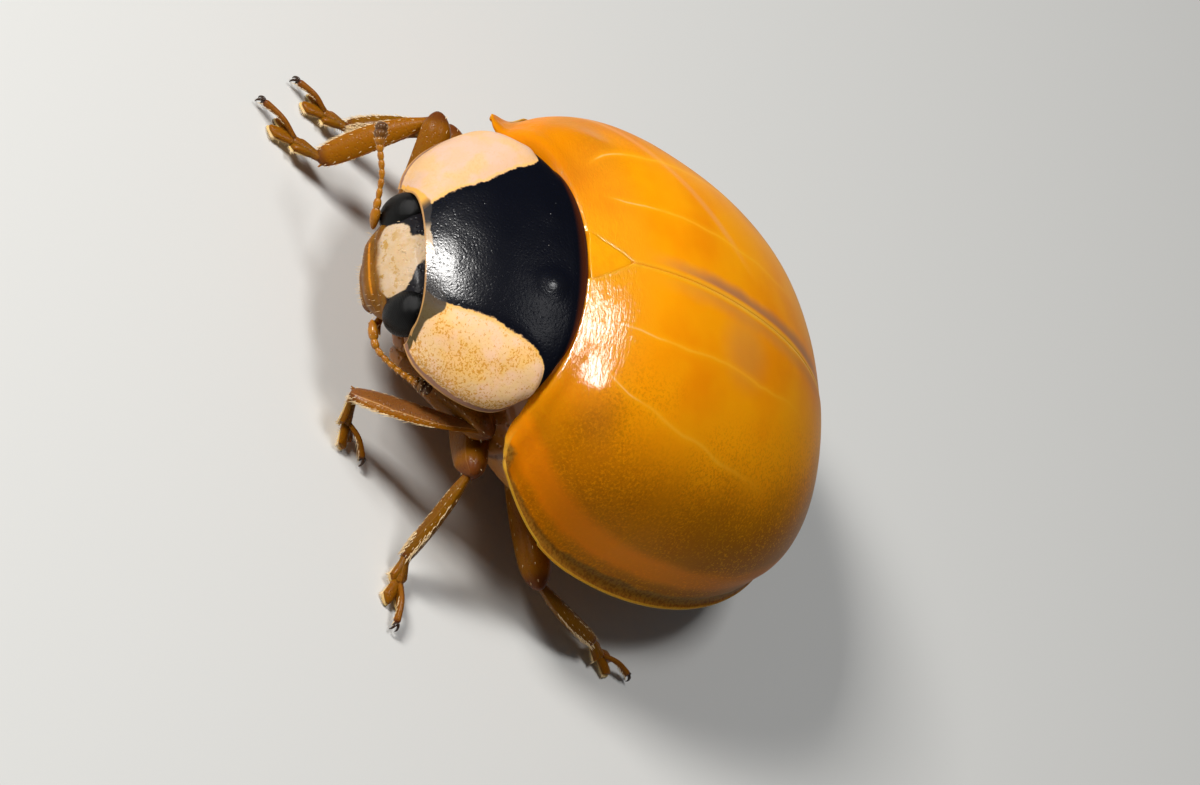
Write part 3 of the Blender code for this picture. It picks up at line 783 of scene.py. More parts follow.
def paint_bands(look):
    """A painted pink sheen on the right case, and mauve bands beside the suture, which has a painted
    highlight line.
    """
    suture, tail, x = look.field("from_suture"), look.axis("Y"), look.axis("X")
    # painted sheen: a pink band across the right case, standing for a grazing reflection
    pink_sheen = look.line(tail * 0.96 + x * -1.0 - 3.02, 0.16, soft=1.0)
    pink_sheen = pink_sheen * look.between(tail, 2.6, 2.0) * look.between(x, -0.3, -0.6)
    look.paint(pink_sheen * 0.5, PINK_SHEEN)
    behind = look.between(tail, 0.5, 1.9) * look.between(tail, 5.0, 3.8)
    band = look.between(suture + look.grain(2.4) * 0.14, 0.36, 0.18) * look.between(suture, 0.04, 0.10)
    band = band * look.between(x, 0.0, -0.06, 0.35, 1.0)
    look.paint(band * (behind * 0.9), MAUVE_BAND)
    patch = look.between(look.distance(DIM_PATCH_AT), 0.62, 0.12, 0.0, 0.42)
    look.paint(patch, DIM_PATCH)
    # painted highlight: a light line along the suture, stronger towards the tail
    suture_highlight = look.between(suture, 0.07, 0.02, 0.0, look.between(tail, 0.8, 2.4, 0.2, 0.7))
    look.paint(suture_highlight, SUTURE_HIGHLIGHT)


def paint_veins(look):
    """Veins: soft lighter bands, thin and pale only where they start."""
    base, tail = look.field("from_base"), look.axis("Y")
    for vein, end, strength in (("inner_vein", 4.0, 0.42), ("outer_vein", 3.4, 0.50)):
        away = look.field(vein) + (look.grain(1.3) - 0.5) * 0.16
        shown = look.between(base, 0.25, 0.6) * look.between(tail, end, end - 1.4)
        soft = look.line(away, 0.10, soft=1.0) * shown
        look.paint(soft * strength, VEIN)
        core = look.line(away, 0.030, soft=1.0) * (shown * 0.55)
        look.paint(core, VEIN_CORE)
        crease = look.line(away, 0.016, soft=1.0) * look.between(base, 1.1, 0.7)
        crease = crease * look.between(base, 0.4, 0.55)
        look.paint(crease * 0.6, VEIN_CREASE)


def paint_brim(look):
    """An orange band inside an olive, see-through brim with a fine pale edge."""
    rim, base, tail, x = look.field("from_rim"), look.field("from_base"), look.axis("Y"), look.axis("X")
    ragged = rim + (look.grain(2.5) - 0.5) * 0.12
    inside = look.between(ragged, 0.26, 0.42) * look.between(ragged, 0.86, 0.62)
    inside = inside * look.between(tail, 4.2, 1.2, 0.30, 0.85) * look.between(x, -0.1, 0.1, 0.4, 1.0)
    look.paint(inside, RIM_BAND)
    from_front = base + look.between(x, 1.92, 2.12, 0.28, 0.09)
    from_edge = look.maths("MINIMUM", ragged + look.between(tail, 0.2, 2.0, 0.03, 0.0), from_front)
    clear = look.between(from_edge + look.grain(20.0) * 0.05, 0.23, 0.17)
    beyond = base + look.between(x, -0.1, 0.1, -0.7, 0.0)
    clear = clear * look.between(beyond, -0.10, -0.02)
    brim = look.mix(look.between(look.grain(28.0, detail=3.0), 0.42, 0.62), CLEAR_BRIM, BRIM_DOTS)
    look.paint(clear * 0.85, brim)
    edge = look.between(rim, 0.014, 0.004) * look.between(tail, 4.4, 2.0, 0.2, 0.8)
    edge = edge * look.between(beyond, -0.3, 0.1, 0.2, 1.0)
    corner = look.between(base, 0.012, 0.002) * look.between(x, 1.86, 2.06)
    look.paint(look.maths("MAXIMUM", edge, corner * 0.6), RIM_LINE)


def wing_case_material():
    """Soft, see-through orange horn: veins and dim shapes below show through it. Painted: shade on the
    flanks, a highlight on the suture, a pink sheen on the right case.
    """
    look = Finish("soft orange horn", 0.36, glow=0.35, glow_reach=0.5, gloss=0.03, coat_roughness=0.08)
    look.set("Coat IOR", 1.9)
    base = look.field("from_base")
    # relief: fine creases near the base, then pores, which paint_flank adds
    creases = look.grain(1.0, detail=3.0, distortion=0.6, place=look.stretched((12.0, 34.0, 24.0)))
    look.raise_surface(creases * look.between(base, 0.95, 0.25), 0.0065)
    paint_flank(look)
    paint_bands(look)
    paint_veins(look)
    paint_brim(look)
    top = look.between(base, 1.0, 0.45) * look.between(look.field("from_rim"), 1.1, 1.7)
    look.set("Coat Weight", top * 0.90)
    return look.done()


# Scutellum


def make_scutellum(material):
    """The small triangular shield where the wing cases meet."""
    rows, columns = 26, 22
    rings = []
    for row in range(rows + 1):
        y = CASE_NOTCH_Y + 0.01 + (SCUTELLUM_LENGTH - 0.02) * eased(row / rows, 0.4)
        half = max(scutellum_half_width(y), 0.012) + 0.012
        top = case_crest((y - CASE_FRONT_Y) / CASE_LENGTH)
        ring = []
        for column in range(columns + 1):
            across = -math.cos(math.pi * column / columns)
            ring.append((half * across, y, top - CASE_MARGIN - 0.005 - 0.006 * abs(across) ** 8))
        low = top - SCUTELLUM_DEPTH
        rings.append([*ring, (0.9 * half, y, low), (-0.9 * half, y, low)])
    rings = np.array(rings)
    front = np.broadcast_to(rings[0].mean(0) + (0, -0.01, 0), rings[0].shape)
    rear = np.broadcast_to(rings[-1].mean(0) + (0, 0.01, 0), rings[0].shape)
    piece = add_skin("scutellum_plate", (capped([front], rings, [rear]), {}))
    return finish_piece(piece, material, ["scutellum"])


def scutellum_material():
    look = Finish("scutellum horn", 0.36, 0.3, coat_roughness=0.12, glow=0.35, glow_reach=0.5, gloss=0.03)
    look.colour = look.mix(look.between(look.grain(6.0, detail=3.0), 0.3, 0.8), AMBER, SHIELD_AMBER)
    look.raise_surface(look.grain(26.0, detail=2.0), 0.003)
    return look.done()


# Pronotum


def pronotum_point(share, angle, lower=0.0):
    """A point of the pronotum's top, or of the face that lies lower (0 top, 1 underside)."""
    corner = float(smooth_step(1.18, 1.57, abs(angle))) ** 2
    share += (0.055 * (1 - share) - 0.03 * share) * corner
    half, crest_z, edge_z, crest_y, edge_y = stations_at(PRONOTUM_STATIONS, share)
    if angle < 0:
        drawn_in = 0.115 * smooth_step(0.60, 0.95, share) + 0.08 * smooth_step(0.35, 0.0, share)
        half *= 1 - float(drawn_in)
    side = math.sin(angle)
    arch = abs(math.cos(angle)) ** 0.80
    middle = math.sin(math.pi * min(max(share, 0.0), 1.0)) ** 0.5
    thin = PRONOTUM_EDGE + (PRONOTUM_CREST - PRONOTUM_EDGE) * arch * middle
    x = half * side * (1 - 0.02 * lower)
    y = crest_y + (edge_y - crest_y) * side**2
    z = edge_z + (crest_z - edge_z) * arch - thin * lower
    return x, y, z


def pronotum_fields(top, shares, angles):
    """Distances on the top in millimetres: from the black field's border, the sides and both ends."""
    border, half = (
        np.array([stations_at(stations, share)[0] for share in shares])[:, None]
        for stations in (BLACK_FIELD, PRONOTUM_STATIONS)
    )
    across = np.degrees(angles)
    past_left = across - (border + BLACK_FIELD_SHIFT)
    past_right = -across - (border - BLACK_FIELD_SHIFT)
    from_right, from_front = walked(top, 1), walked(top, 0)
    return {
        "lobe": np.radians(np.maximum(past_left, past_right)) * half,
        "to_side": np.minimum(from_right, from_right[:, -1:] - from_right),
        "from_front": from_front,
        "to_rear": from_front[-1:] - from_front,
    }


def pronotum_relief(top, fields):
    """How far the top stands proud of its smooth shape, in millimetres."""
    x, y, _z = np.moveaxis(top, -1, 0)
    lobe, to_side, from_front = fields["lobe"], fields["to_side"], fields["from_front"]
    relief = 0.010 * hump(to_side - 0.012, 0.014) - 0.012 * hump(to_side - 0.07, 0.04)
    relief -= 0.010 * hump(lobe - 0.03, 0.09) * smooth_step(0.1, 0.3, from_front)
    relief += 0.020 * hump(lobe - 0.35, 0.26) * smooth_step(0.12, 0.3, to_side)
    for mark, height in ((BUMP_AT[0], 0.040), (-BUMP_AT[0], 0.012)):
        relief += height * hump(np.hypot(x - mark, y - BUMP_AT[1]), 0.15)
    return relief + 0.006 * rough_field(top, 1.6, 11) + 0.003 * rough_field(top, 5.0, 12) - 0.008


def make_pronotum(material):
    shares = [eased(row / PRONOTUM_ROWS, 0.5) for row in range(PRONOTUM_ROWS + 1)]
    angles = [math.radians(-90 + 180 * column / PRONOTUM_COLUMNS) for column in range(PRONOTUM_COLUMNS + 1)]
    top, under = (
        np.array([[pronotum_point(share, angle, lower) for angle in angles] for share in shares])
        for lower in (0.0, 1.0)
    )
    fields = pronotum_fields(top, shares, angles)
    normals = surface_normals(top)
    normals *= np.sign(normals[..., 2:3] + 1e-6)
    top = top + normals * pronotum_relief(top, fields)[..., None]
    middle = 0.5 * (top + under)
    beyond = np.array((0.010, 0.0, 0.0))
    rings = wrapped(top, middle[:, -1:] + beyond, under, middle[:, :1] - beyond)

    def round_edges(values):
        return wrapped(values, values[:, -1:], values, values[:, :1])

    folded = round_edges(middle)
    front = closing_rings(rings[0], folded[0], unit(rings[0] - rings[1]), 4, 0.006)
    rear = closing_rings(rings[-1], folded[-1], unit(rings[-1] - rings[-2]), 4, 0.03)
    fields = {field: padded(round_edges(values), len(front), len(rear)) for field, values in fields.items()}
    piece = add_skin("neck_shield", (capped(front, rings, rear), fields))
    return finish_piece(piece, material, ["pronotum"])


def lobe_colour(look, left, inside):
    """Cream, paler on the right, with yellow clouds, ochre flecks and a yellow border."""
    cream = look.mix(left, CREAM["right"], CREAM["left"])
    lilac = look.mix(left, LILAC["right"], LILAC["left"])
    colour = look.mix(look.between(look.grain(4.5, detail=3.0), 0.42, 0.62), cream, lilac)
    clouds = look.between(look.grain(2.6, detail=3.0), 0.46, 0.62)
    colour = look.mix(clouds * look.between(left, 0.0, 1.0, 0.35, 0.6), colour, YELLOW_CLOUD)
    near = look.between(look.field("to_side"), 0.44, 0.10, 0.32, 1.0)
    crowd = look.maths("MAXIMUM", near, clouds * 0.75)
    fine = look.grain(30.0, detail=2.0, roughness=0.65, place=look.stretched((1.0, 1.5, 1.3)))
    above = fine - (0.650 - crowd * 0.19)
    fleck = look.between(above, 0.0, 0.07) * look.between(left, 0.0, 1.0, 0.12, 0.80)
    colour = look.mix(fleck, colour, OCHRE_FLECK)
    border = look.between(inside, 0.08, 0.02) * look.between(inside, -0.01, 0.01)
    return look.mix(border * 0.5, colour, LOBE_BORDER)


def black_colour(look):
    """Blue-black with pale dust, and a red-brown rear edge."""
    black = look.mix(look.between(look.field("to_rear"), 0.11, 0.01, 0.0, 0.85), BLUE_BLACK, BLACK_REAR)
    dust = look.between(look.cells(6.5), 0.020, 0.040, 1.0, 0.0)
    return look.mix(dust * 0.45, black, DUST)


def paint_front_strip(look, left, ragged):
    """A clear strip, widest beside the lobes: the face shows through it."""
    lobe = look.field("lobe")
    bulge = look.between(abs(lobe - 0.04), 0.42, 0.0) * look.between(left, 0.0, 1.0, 0.06, 0.19)
    width = look.between(left, 0.0, 1.0, 0.075, 0.115) + bulge
    strip = look.between(look.field("from_front") + ragged * 0.35 - width, 0.025, 0.0)
    middle = look.between(abs(look.axis("X") + 0.06), 0.24, 0.10)
    strip_colour = look.mix(middle, STRIP_OVER_EYES, STRIP_OVER_FACE)
    beside = look.mix(left, STRIP_BESIDE_LOBE["right"], STRIP_BESIDE_LOBE["left"])
    strip_colour = look.mix(look.between(lobe, 0.02, 0.22), strip_colour, beside)
    look.paint(strip * 0.94, strip_colour)


def paint_shield_rim(look, lobe_share):
    """A clear side brim, then a fine golden line round the edge."""
    side, front, rear = look.field("to_side"), look.field("from_front"), look.field("to_rear")
    notched = side + look.grain(16.0, detail=1.0) * 0.045
    brim = look.between(notched, 0.100, 0.080) * look.between(rear, 0.03, 0.20)
    look.paint(brim * lobe_share, SIDE_BRIM)
    line = look.maths("MAXIMUM", look.between(side, 0.022, 0.010), look.between(front, 0.010, 0.003))
    line = line * look.between(rear, 0.05, 0.25)
    look.paint(line * 0.85, SHIELD_LINE)


def pronotum_material():
    """Blue-black horn with cream side lobes, ochre flecks and a clear, beaded rim."""
    look = Finish("neck shield horn", 0.3, glow=0.06, glow_reach=0.12, gloss=0.04, coat_roughness=0.21)
    left = look.between(look.axis("X"), -0.3, 0.3)
    ragged = look.grain(7.0, detail=3.0, roughness=0.6) * 0.16
    inside = look.field("lobe") + ragged - 0.08
    lobe_share = look.between(inside, -0.014, 0.016)
    look.colour = look.mix(lobe_share, black_colour(look), lobe_colour(look, left, inside))
    paint_front_strip(look, left, ragged)
    paint_shield_rim(look, lobe_share)
    look.set("Roughness", look.between(lobe_share, 0.0, 1.0, 0.35, 0.42))
    front_shine = look.between(look.field("from_front"), 0.95, 0.10, 0.05, 0.95)
    bump_shine = look.between(look.distance(BUMP_AT), 0.22, 0.08, 0.0, 0.55)
    shine = look.maths("MAXIMUM", front_shine, bump_shine)
    look.set("Coat Weight", shine * look.between(lobe_share, 1.0, 0.0))
    look.raise_surface(look.grain(34.0, detail=3.0, roughness=0.6), 0.0026)
    look.raise_surface(look.between(look.cells(20.0), 0.0, 0.4), 0.0014)
    return look.done()


# Growths: Geometry Nodes for what repeats


class Growth(Nodes):
    """A Geometry Nodes tree, made from left to right. Its sizes are named inputs."""

    def __init__(self, name, sizes):
        self.tree = bpy.data.node_groups.new(name, "GeometryNodeTree")
        self.tree.interface.new_socket("Roots", in_out="INPUT", socket_type="NodeSocketGeometry")
        for label, kind in sizes.items():
            self.tree.interface.new_socket(label, in_out="INPUT", socket_type=f"NodeSocket{kind}")
        self.tree.interface.new_socket("Result", in_out="OUTPUT", socket_type="NodeSocketGeometry")
        self.given = self.node("NodeGroupInput").outputs

    def attribute(self, name, kind="FLOAT_VECTOR"):
        made = self.node("GeometryNodeInputNamedAttribute", {"Name": name}, data_type=kind)
        return made.outputs["Attribute"]

    def vectors(self, operation, *values):
        made = self.node("ShaderNodeVectorMath", dict(enumerate(values)), operation=operation)
        return made.outputs["Value" if operation == "LENGTH" else "Vector"]

    def on_roots(self, shape, wide, long):
        """Copies of a shape on the roots, its Z axis along each root's own way."""
        way = self.attribute("way")
        turn = self.node("FunctionNodeAlignRotationToVector", {"Vector": way}, axis="Z").outputs["Rotation"]
        scale = self.node("ShaderNodeCombineXYZ", {"X": wide, "Y": wide, "Z": long}).outputs["Vector"]
        sockets = {"Points": self.given["Roots"], "Instance": shape, "Rotation": turn, "Scale": scale}
        copies = self.node("GeometryNodeInstanceOnPoints", sockets).outputs["Instances"]
        return self.node("GeometryNodeRealizeInstances", {"Geometry": copies}).outputs["Geometry"]

    def end(self, shape):
        smooth = self.node("GeometryNodeSetShadeSmooth", {"Geometry": shape}).outputs["Geometry"]
        sockets = {"Geometry": smooth, "Material": self.given["Material"]}
        painted = self.node("GeometryNodeSetMaterial", sockets).outputs["Geometry"]
        self.join(painted, self.node("NodeGroupOutput").inputs["Result"])
        return self.tree


def bristle_tree():
    """Tapered hairs, each on its root, along its way and bent towards its lean."""
    plan = Growth("bristles", {"Thickness": "Float", "Material": "Material"})
    sizes = {"Vertices": 5, "Side Segments": 3, "Radius Top": 0.12, "Radius Bottom": 1.0, "Depth": 1.0}
    hair = plan.node("GeometryNodeMeshCone", sizes, fill_type="TRIANGLE_FAN")
    place = plan.node("GeometryNodeInputPosition").outputs["Position"]
    height = plan.node("ShaderNodeSeparateXYZ", {"Vector": place}).outputs["Z"]
    sockets = {"Geometry": hair.outputs["Mesh"], "Name": "rise", "Value": height}
    marked = plan.node("GeometryNodeStoreNamedAttribute", sockets, data_type="FLOAT", domain="POINT")
    length = plan.vectors("LENGTH", plan.attribute("way"))
    hairs = plan.on_roots(marked.outputs["Geometry"], plan.given["Thickness"], length)
    rise = plan.attribute("rise", "FLOAT")
    bend = plan.vectors("MULTIPLY", plan.attribute("lean"), plan.maths("MULTIPLY", rise, rise))
    bent = plan.node("GeometryNodeSetPosition", {"Geometry": hairs, "Offset": bend})
    return plan.end(bent.outputs["Geometry"])


def bead_tree():
    """Pear-shaped joints of a feeler, each on its root, along its way and as wide as its girth."""
    plan = Growth("feeler joints", {"Flare": "Float", "Material": "Material"})
    sizes = {"Segments": 10, "Rings": 7, "Radius": 1.0}
    bead = plan.node("GeometryNodeMeshUVSphere", sizes).outputs["Mesh"]
    place = plan.node("GeometryNodeInputPosition").outputs["Position"]
    height = plan.node("ShaderNodeSeparateXYZ", {"Vector": place}).outputs["Z"]
    wider = plan.maths("MULTIPLY", height, plan.given["Flare"]) + 1.0
    widths = plan.node("ShaderNodeCombineXYZ", {"X": wider, "Y": wider, "Z": 1.0}).outputs["Vector"]
    pear = plan.vectors("MULTIPLY", place, widths)
    shaped = plan.node("GeometryNodeSetPosition", {"Geometry": bead, "Position": pear}).outputs["Geometry"]
    length = plan.vectors("LENGTH", plan.attribute("way"))
    return plan.end(plan.on_roots(shaped, plan.attribute("girth", "FLOAT"), length))


def facet_tree():
    """A compound eye: an ellipsoid of six-sided facets, each one a small dome."""
    plan = Growth("facets", {"Middle": "Vector", "Radii": "Vector", "Dome": "Float", "Material": "Material"})
    ball = plan.node("GeometryNodeMeshIcoSphere", {"Radius": 1.0, "Subdivisions": 5}).outputs["Mesh"]
    shape = plan.node("GeometryNodeDualMesh", {"Mesh": ball}).outputs["Dual Mesh"]
    for rise, shrink in ((0.6, 0.80), (0.4, 0.58)):
        height = plan.maths("MULTIPLY", plan.given["Dome"], rise)
        sockets = {"Mesh": shape, "Offset Scale": height, "Individual": True}
        raised = plan.node("GeometryNodeExtrudeMesh", sockets, mode="FACES")
        sockets = {"Geometry": raised.outputs["Mesh"], "Selection": raised.outputs["Top"], "Scale": shrink}
        shape = plan.node("GeometryNodeScaleElements", sockets, domain="FACE").outputs["Geometry"]
    sockets = {"Geometry": shape, "Scale": plan.given["Radii"], "Translation": plan.given["Middle"]}
    placed = plan.node("GeometryNodeTransform", sockets).outputs["Geometry"]
    return plan.end(plan.node("GeometryNodeRealizeInstances", {"Geometry": placed}).outputs["Geometry"])


def grow(name, tree, sizes, roots=((0, 0, 0),), fields=None):
    """The plain mesh that a tree makes from roots with their own fields."""
    mesh = bpy.data.meshes.new(name)
    mesh.from_pydata([tuple(map(float, root)) for root in roots], [], [])
    for field, values in (fields or {}).items():
        values = np.asarray(values, np.float32)
        kind, part = ("FLOAT_VECTOR", "vector") if values.ndim == 2 else ("FLOAT", "value")
        mesh.attributes.new(field, kind, "POINT").data.foreach_set(part, values.ravel())
    piece = add_object(name, mesh)
    modifier = piece.modifiers.new("growth", "NODES")
    modifier.node_group = tree
    for socket in tree.interface.items_tree:
        if socket.in_out == "INPUT" and socket.name in sizes:
            modifier[socket.identifier] = sizes[socket.name]
    evaluated = piece.evaluated_get(bpy.context.evaluated_depsgraph_get())
    grown = bpy.data.meshes.new_from_object(evaluated)
    piece.modifiers.remove(modifier)
    piece.data = grown
    bpy.data.meshes.remove(mesh)
    return piece


class Coat:
    """Roots of hairs, gathered for one piece. Places and lengths are in millimetres."""

    def __init__(self, seed):
        self.chance = np.random.default_rng(seed)
        self.roots, self.ways, self.leans = [], [], []

    def add(self, root, way, length, lean=(0, 0, 0)):
        way = np.asarray(way, float)
        vary = 1 + 0.22 * self.chance.standard_normal()
        stray = way / np.linalg.norm(way) + 0.10 * self.chance.standard_normal(3)
        way = stray / np.linalg.norm(stray) * length * min(max(vary, 0.6), 1.4)
        lean = np.asarray(lean, float) * length
        way[2] = max(way[2], 0.010 - RIM_HEIGHT - root[2] - min(lean[2], 0.0))
        self.roots.append(root)
        self.ways.append(way)
        self.leans.append(lean)

    def grown(self, name, tree, thickness, material, slot):
        fields = {"way": np.array(self.ways) * MM, "lean": np.array(self.leans) * MM}
        sizes = {"Thickness": thickness * MM, "Material": material}
        return place_piece(grow(name, tree, sizes, seat(self.roots), fields))


# Limbs


class Limb:
    """A limb on a smooth route: (share, half height, half thickness) stations, in its bending plane."""

    def __init__(self, route, stations, normal, lens=1.0, blunt=(0.1, 0.1), groove=0.0):
        self.route = [(index / (len(route) - 1), *point) for index, point in enumerate(route)]
        self.stations, self.normal = stations, unit(normal)
        self.lens, self.blunt, self.groove = lens, blunt, groove

    def centre(self, share):
        return np.array(stations_at(self.route, share))

    def axes(self, share):
        """Along the limb, towards its bending side, and across."""
        ahead = unit(self.centre(min(share + 0.01, 1.0)) - self.centre(max(share - 0.01, 0.0)))
        side = unit(np.cross(self.normal, ahead))
        return ahead, side, np.cross(ahead, side)

    def point(self, share, angle):
        """Angle 0 is the bending side, and 180 degrees the outer side."""
        high, thick = stations_at(self.stations, share)
        ends = min(share / self.blunt[0], (1 - share) / self.blunt[1], 1.0)
        full = math.sqrt(max(1 - (1 - ends) ** 2, 0.0))
        _ahead, side, across = self.axes(share)
        inner = abs((angle + math.pi) % (2 * math.pi) - math.pi)
        hollow = 1 - self.groove * math.exp(-((inner / 0.55) ** 2)) * float(smooth_step(0.45, 0.85, share))
        c = high * math.cos(angle) * hollow
        s = thick * math.copysign(abs(math.sin(angle)) ** self.lens, math.sin(angle))
        return self.centre(share) + full * (side * c + across * s)

    def skin(self, steps=44, sides=28):
        shares = [eased(step / steps, 0.75) for step in range(steps + 1)]
        angles = [2 * math.pi * side / sides for side in range(sides)]
        rings = np.array([[self.point(share, angle) for angle in angles] for share in shares])
        along, around = np.meshgrid(shares, angles, indexing="ij")
        return rings, {"along": along, "inner": np.cos(around), "face": np.sin(around)}

    def comb(self, coat, *rows):
        """Rows of hairs: (first share, last share, count, degrees round the limb, length, forward lean)."""
        for first, last, count, degrees, length, forward in rows:
            for share in np.linspace(first, last, count):
                angle = math.radians(degrees + coat.chance.uniform(-9, 9))
                share = min(max(share + coat.chance.uniform(-0.012, 0.012), 0.02), 0.99)
                root = self.point(share, angle)
                out = unit(root - self.centre(share))
                ahead = self.axes(share)[0]
                coat.add(root - out * 0.006, out + ahead * forward, length, ahead * 0.3)


def plain_fields(rings, along=0.5):
    """Fields of a part that is coloured as one place on a limb."""
    size = rings.shape[:2]
    return {"along": np.full(size, along), "inner": np.zeros(size), "face": np.ones(size)}


def plate_reach(v, start, end, notch, taper):
    """How far a plate reaches back and forward along its way, at v from -1 to 1 across it."""
    rear = start + (end - start) * taper * abs(v) ** 1.4
    front = end - notch * math.exp(-((v / 0.30) ** 2)) - 0.28 * (end - start) * abs(v) ** 5
    return rear, front


def plate_skin(origin, ahead, up, start, end, width, thick, notch, taper, steps=22, sides=18):
    """A flat lobed plate: rings from one side to the other, notched at its far end."""
    across = np.cross(ahead, up)
    rings = []
    for step in range(steps + 1):
        v = -math.cos(math.pi * step / steps)
        rear, front = plate_reach(v, start, end, notch, taper)
        full = math.sqrt(max(1 - abs(v) ** 4, 0.0))
        middle, reach = (front + rear) / 2, (front - rear) / 2 * full
        ring = []
        for side in range(sides):
            angle = 2 * math.pi * side / sides
            flat = ahead * (middle + reach * math.cos(angle)) + across * (v * width)
            ring.append(origin + flat + up * (thick * full * math.sin(angle) - 0.02 * v * v))
        rings.append(ring)
    rings = np.array(rings)
    return rings, plain_fields(rings)


# Legs


def claw_skins(tip_base, ahead, up, across, spread):
    """One curved claw with a tooth near its root."""
    way = unit(ahead + across * spread)
    root = tip_base - way * 0.01
    hook = [root + way * a + up * b for a, b in ((0, 0), (0.060, 0.016), (0.105, -0.018), (0.115, -0.062))]
    tooth = [root + way * a - up * b for a, b in ((0.03, 0), (0.045, 0.030), (0.038, 0.050))]
    stations = ((0.0, 0.026, 0.020), (0.5, 0.018, 0.014), (1.0, 0.004, 0.004))
    claw = Limb(hook, stations, across, blunt=(0.2, 0.1))
    small = Limb(tooth, ((0.0, 0.018, 0.014), (1.0, 0.005, 0.005)), across, blunt=(0.2, 0.1))
    return [claw.skin(14, 10), small.skin(8, 8)]


def make_claws(name, end, level, material):
    way = unit(level - np.array((0, 0, 0.25)))
    up = np.cross(unit(np.cross(way, (0, 0, 1))), way)
    hooks = []
    for spread in (0.45, -0.45):
        hooks += claw_skins(end - way * 0.025, way, up, np.cross(way, up), spread)
    finish_piece(add_skin(f"claws_{name}", *hooks), material)


def fringe_pad(coat, origin, way, up, start, end, width, notch, taper):
    """Short hairs round the edge of a pad."""
    across = np.cross(way, up)
    for index in range(PAD_HAIRS):
        angle = 2 * math.pi * index / PAD_HAIRS
        v = 0.96 * math.sin(angle)
        rear, front = plate_reach(v, start, end, notch, taper)
        along = (front + rear) / 2 + (front - rear) / 2 * 0.94 * math.cos(angle)
        root = origin - up * 0.035 + way * along + across * v * width
        coat.add(root, way * math.cos(angle) * 0.5 + across * v * 0.5 - up * 0.8, 0.042)


def make_foot(name, ankle, toe, looks, coat):
    """Two padded joints, a slim arched claw joint above them, and two claws."""
    flat = toe - ankle
    length = float(np.hypot(flat[0], flat[1]))
    level = unit((flat[0], flat[1], 0))
    low = -RIM_HEIGHT + SOLE_HEIGHT
    bend = ankle + level * 0.30 * length
    bend[2] = max(ankle[2] - 0.62 * (ankle[2] - low), low)
    far = ankle + level * 0.66 * length
    far[2] = low
    first_way, second_way = unit(bend - ankle), unit(far - bend)
    across = unit(np.cross(first_way, (0, 0, 1)))
    first_up, second_up = np.cross(across, first_way), np.cross(across, second_way)
    first_end = float(np.linalg.norm(bend - ankle))
    second_end = float(np.linalg.norm(far - bend)) + 0.05
    first = plate_skin(ankle, first_way, first_up, -0.05, first_end + 0.07, 0.125, 0.050, 0.05, 0.85)
    second = plate_skin(bend, second_way, second_up, -0.06, second_end, 0.165, 0.040, 0.13, 0.60)
    neck = Limb(
        [ankle - first_way * 0.03, ankle + first_way * first_end * 0.6, bend + second_way * 0.08],
        ((0.0, 0.05, 0.055), (0.5, 0.06, 0.07), (1.0, 0.055, 0.06)), across,
    )
    root = bend + second_way * 0.04 + second_up * 0.02
    end = ankle + level * (length - 0.02)
    end[2] = low + 0.045
    crest = (root + end) / 2 + np.array((0, 0, 0.06))
    slim = Limb([root, crest, end], ((0.0, 0.030, 0.030), (0.6, 0.036, 0.034), (1.0, 0.050, 0.046)), across)
    foot = add_skin(f"foot_{name}", first, second, neck.skin(20, 14), slim.skin(26, 16))
    finish_piece(foot, looks["leg"], [f"tarsus_{name}"])
    pads = []
    for origin, way, up, start, stop, width, notch, taper in (
        (ankle, first_way, first_up, 0.02, first_end + 0.085, 0.135, 0.05, 0.80),
        (bend, second_way, second_up, 0.0, second_end + 0.018, 0.178, 0.13, 0.55),
    ):
        pads.append(plate_skin(origin - up * 0.030, way, up, start, stop, width, 0.022, notch, taper))
        fringe_pad(coat, origin, way, up, start, stop, width, notch, taper)
    finish_piece(add_skin(f"pads_{name}", *pads), looks["pad"])
    make_claws(name, end, level, looks["claw"])
    slim.comb(coat, (0.35, 0.95, 9, 180, 0.070, 1.6))
    slim.comb(coat, *((0.4, 0.95, 7, degrees, 0.055, 1.8) for degrees in (110, 250)))
    neck.comb(coat, (0.3, 0.9, 8, 180, 0.05, 1.2))


def thigh_limb(hip, knee, bend):
    way = unit(knee - hip)
    middle = (hip + knee) / 2 - np.cross(bend, way) * 0.03
    stations = (
        (0.0, 0.12, 0.11),
        (0.25, 0.20, 0.17),
        (0.6, 0.238, 0.20),
        (0.85, 0.205, 0.185),
        (1.0, 0.15, 0.13),
    )
    route = [hip - way * 0.10, middle, knee + way * 0.10]
    return Limb(route, stations, bend, lens=0.9, blunt=(0.12, 0.14), groove=0.42)


def shin_limb(knee, ankle, bend, wide, deep):
    way = unit(ankle - knee)
    middle = (knee + ankle) / 2 - np.cross(bend, way) * 0.035
    stations = (
        (0.0, 0.050, 0.050),
        (0.10, 0.062, 0.055),
        (0.28, 0.76 * wide, 0.88 * deep),
        (0.60, wide, deep),
        (0.85, 0.92 * wide, 0.95 * deep),
        (1.0, 0.62 * wide, 0.80 * deep),
    )
    route = [knee - way * 0.03, middle, ankle + way * 0.05]
    return Limb(route, stations, bend, lens=1.5, blunt=(0.05, 0.05))


def spur_skins(knee, ankle, bend):
    """Two spurs at the shin's end."""
    shin_way = unit(ankle - knee)
    inner = np.cross(bend, shin_way)
    root = ankle + inner * 0.07
    skins = []
    for turn in (0.35, -0.35):
        way = unit(shin_way + inner * 0.3 + bend * turn)
        route = [root - way * 0.02, root + way * 0.03, root + way * 0.07]
        spur = Limb(route, ((0.0, 0.020, 0.020), (1.0, 0.004, 0.004)), bend, blunt=(0.2, 0.1))
        skins.append(spur.skin(10, 8))
    return skins


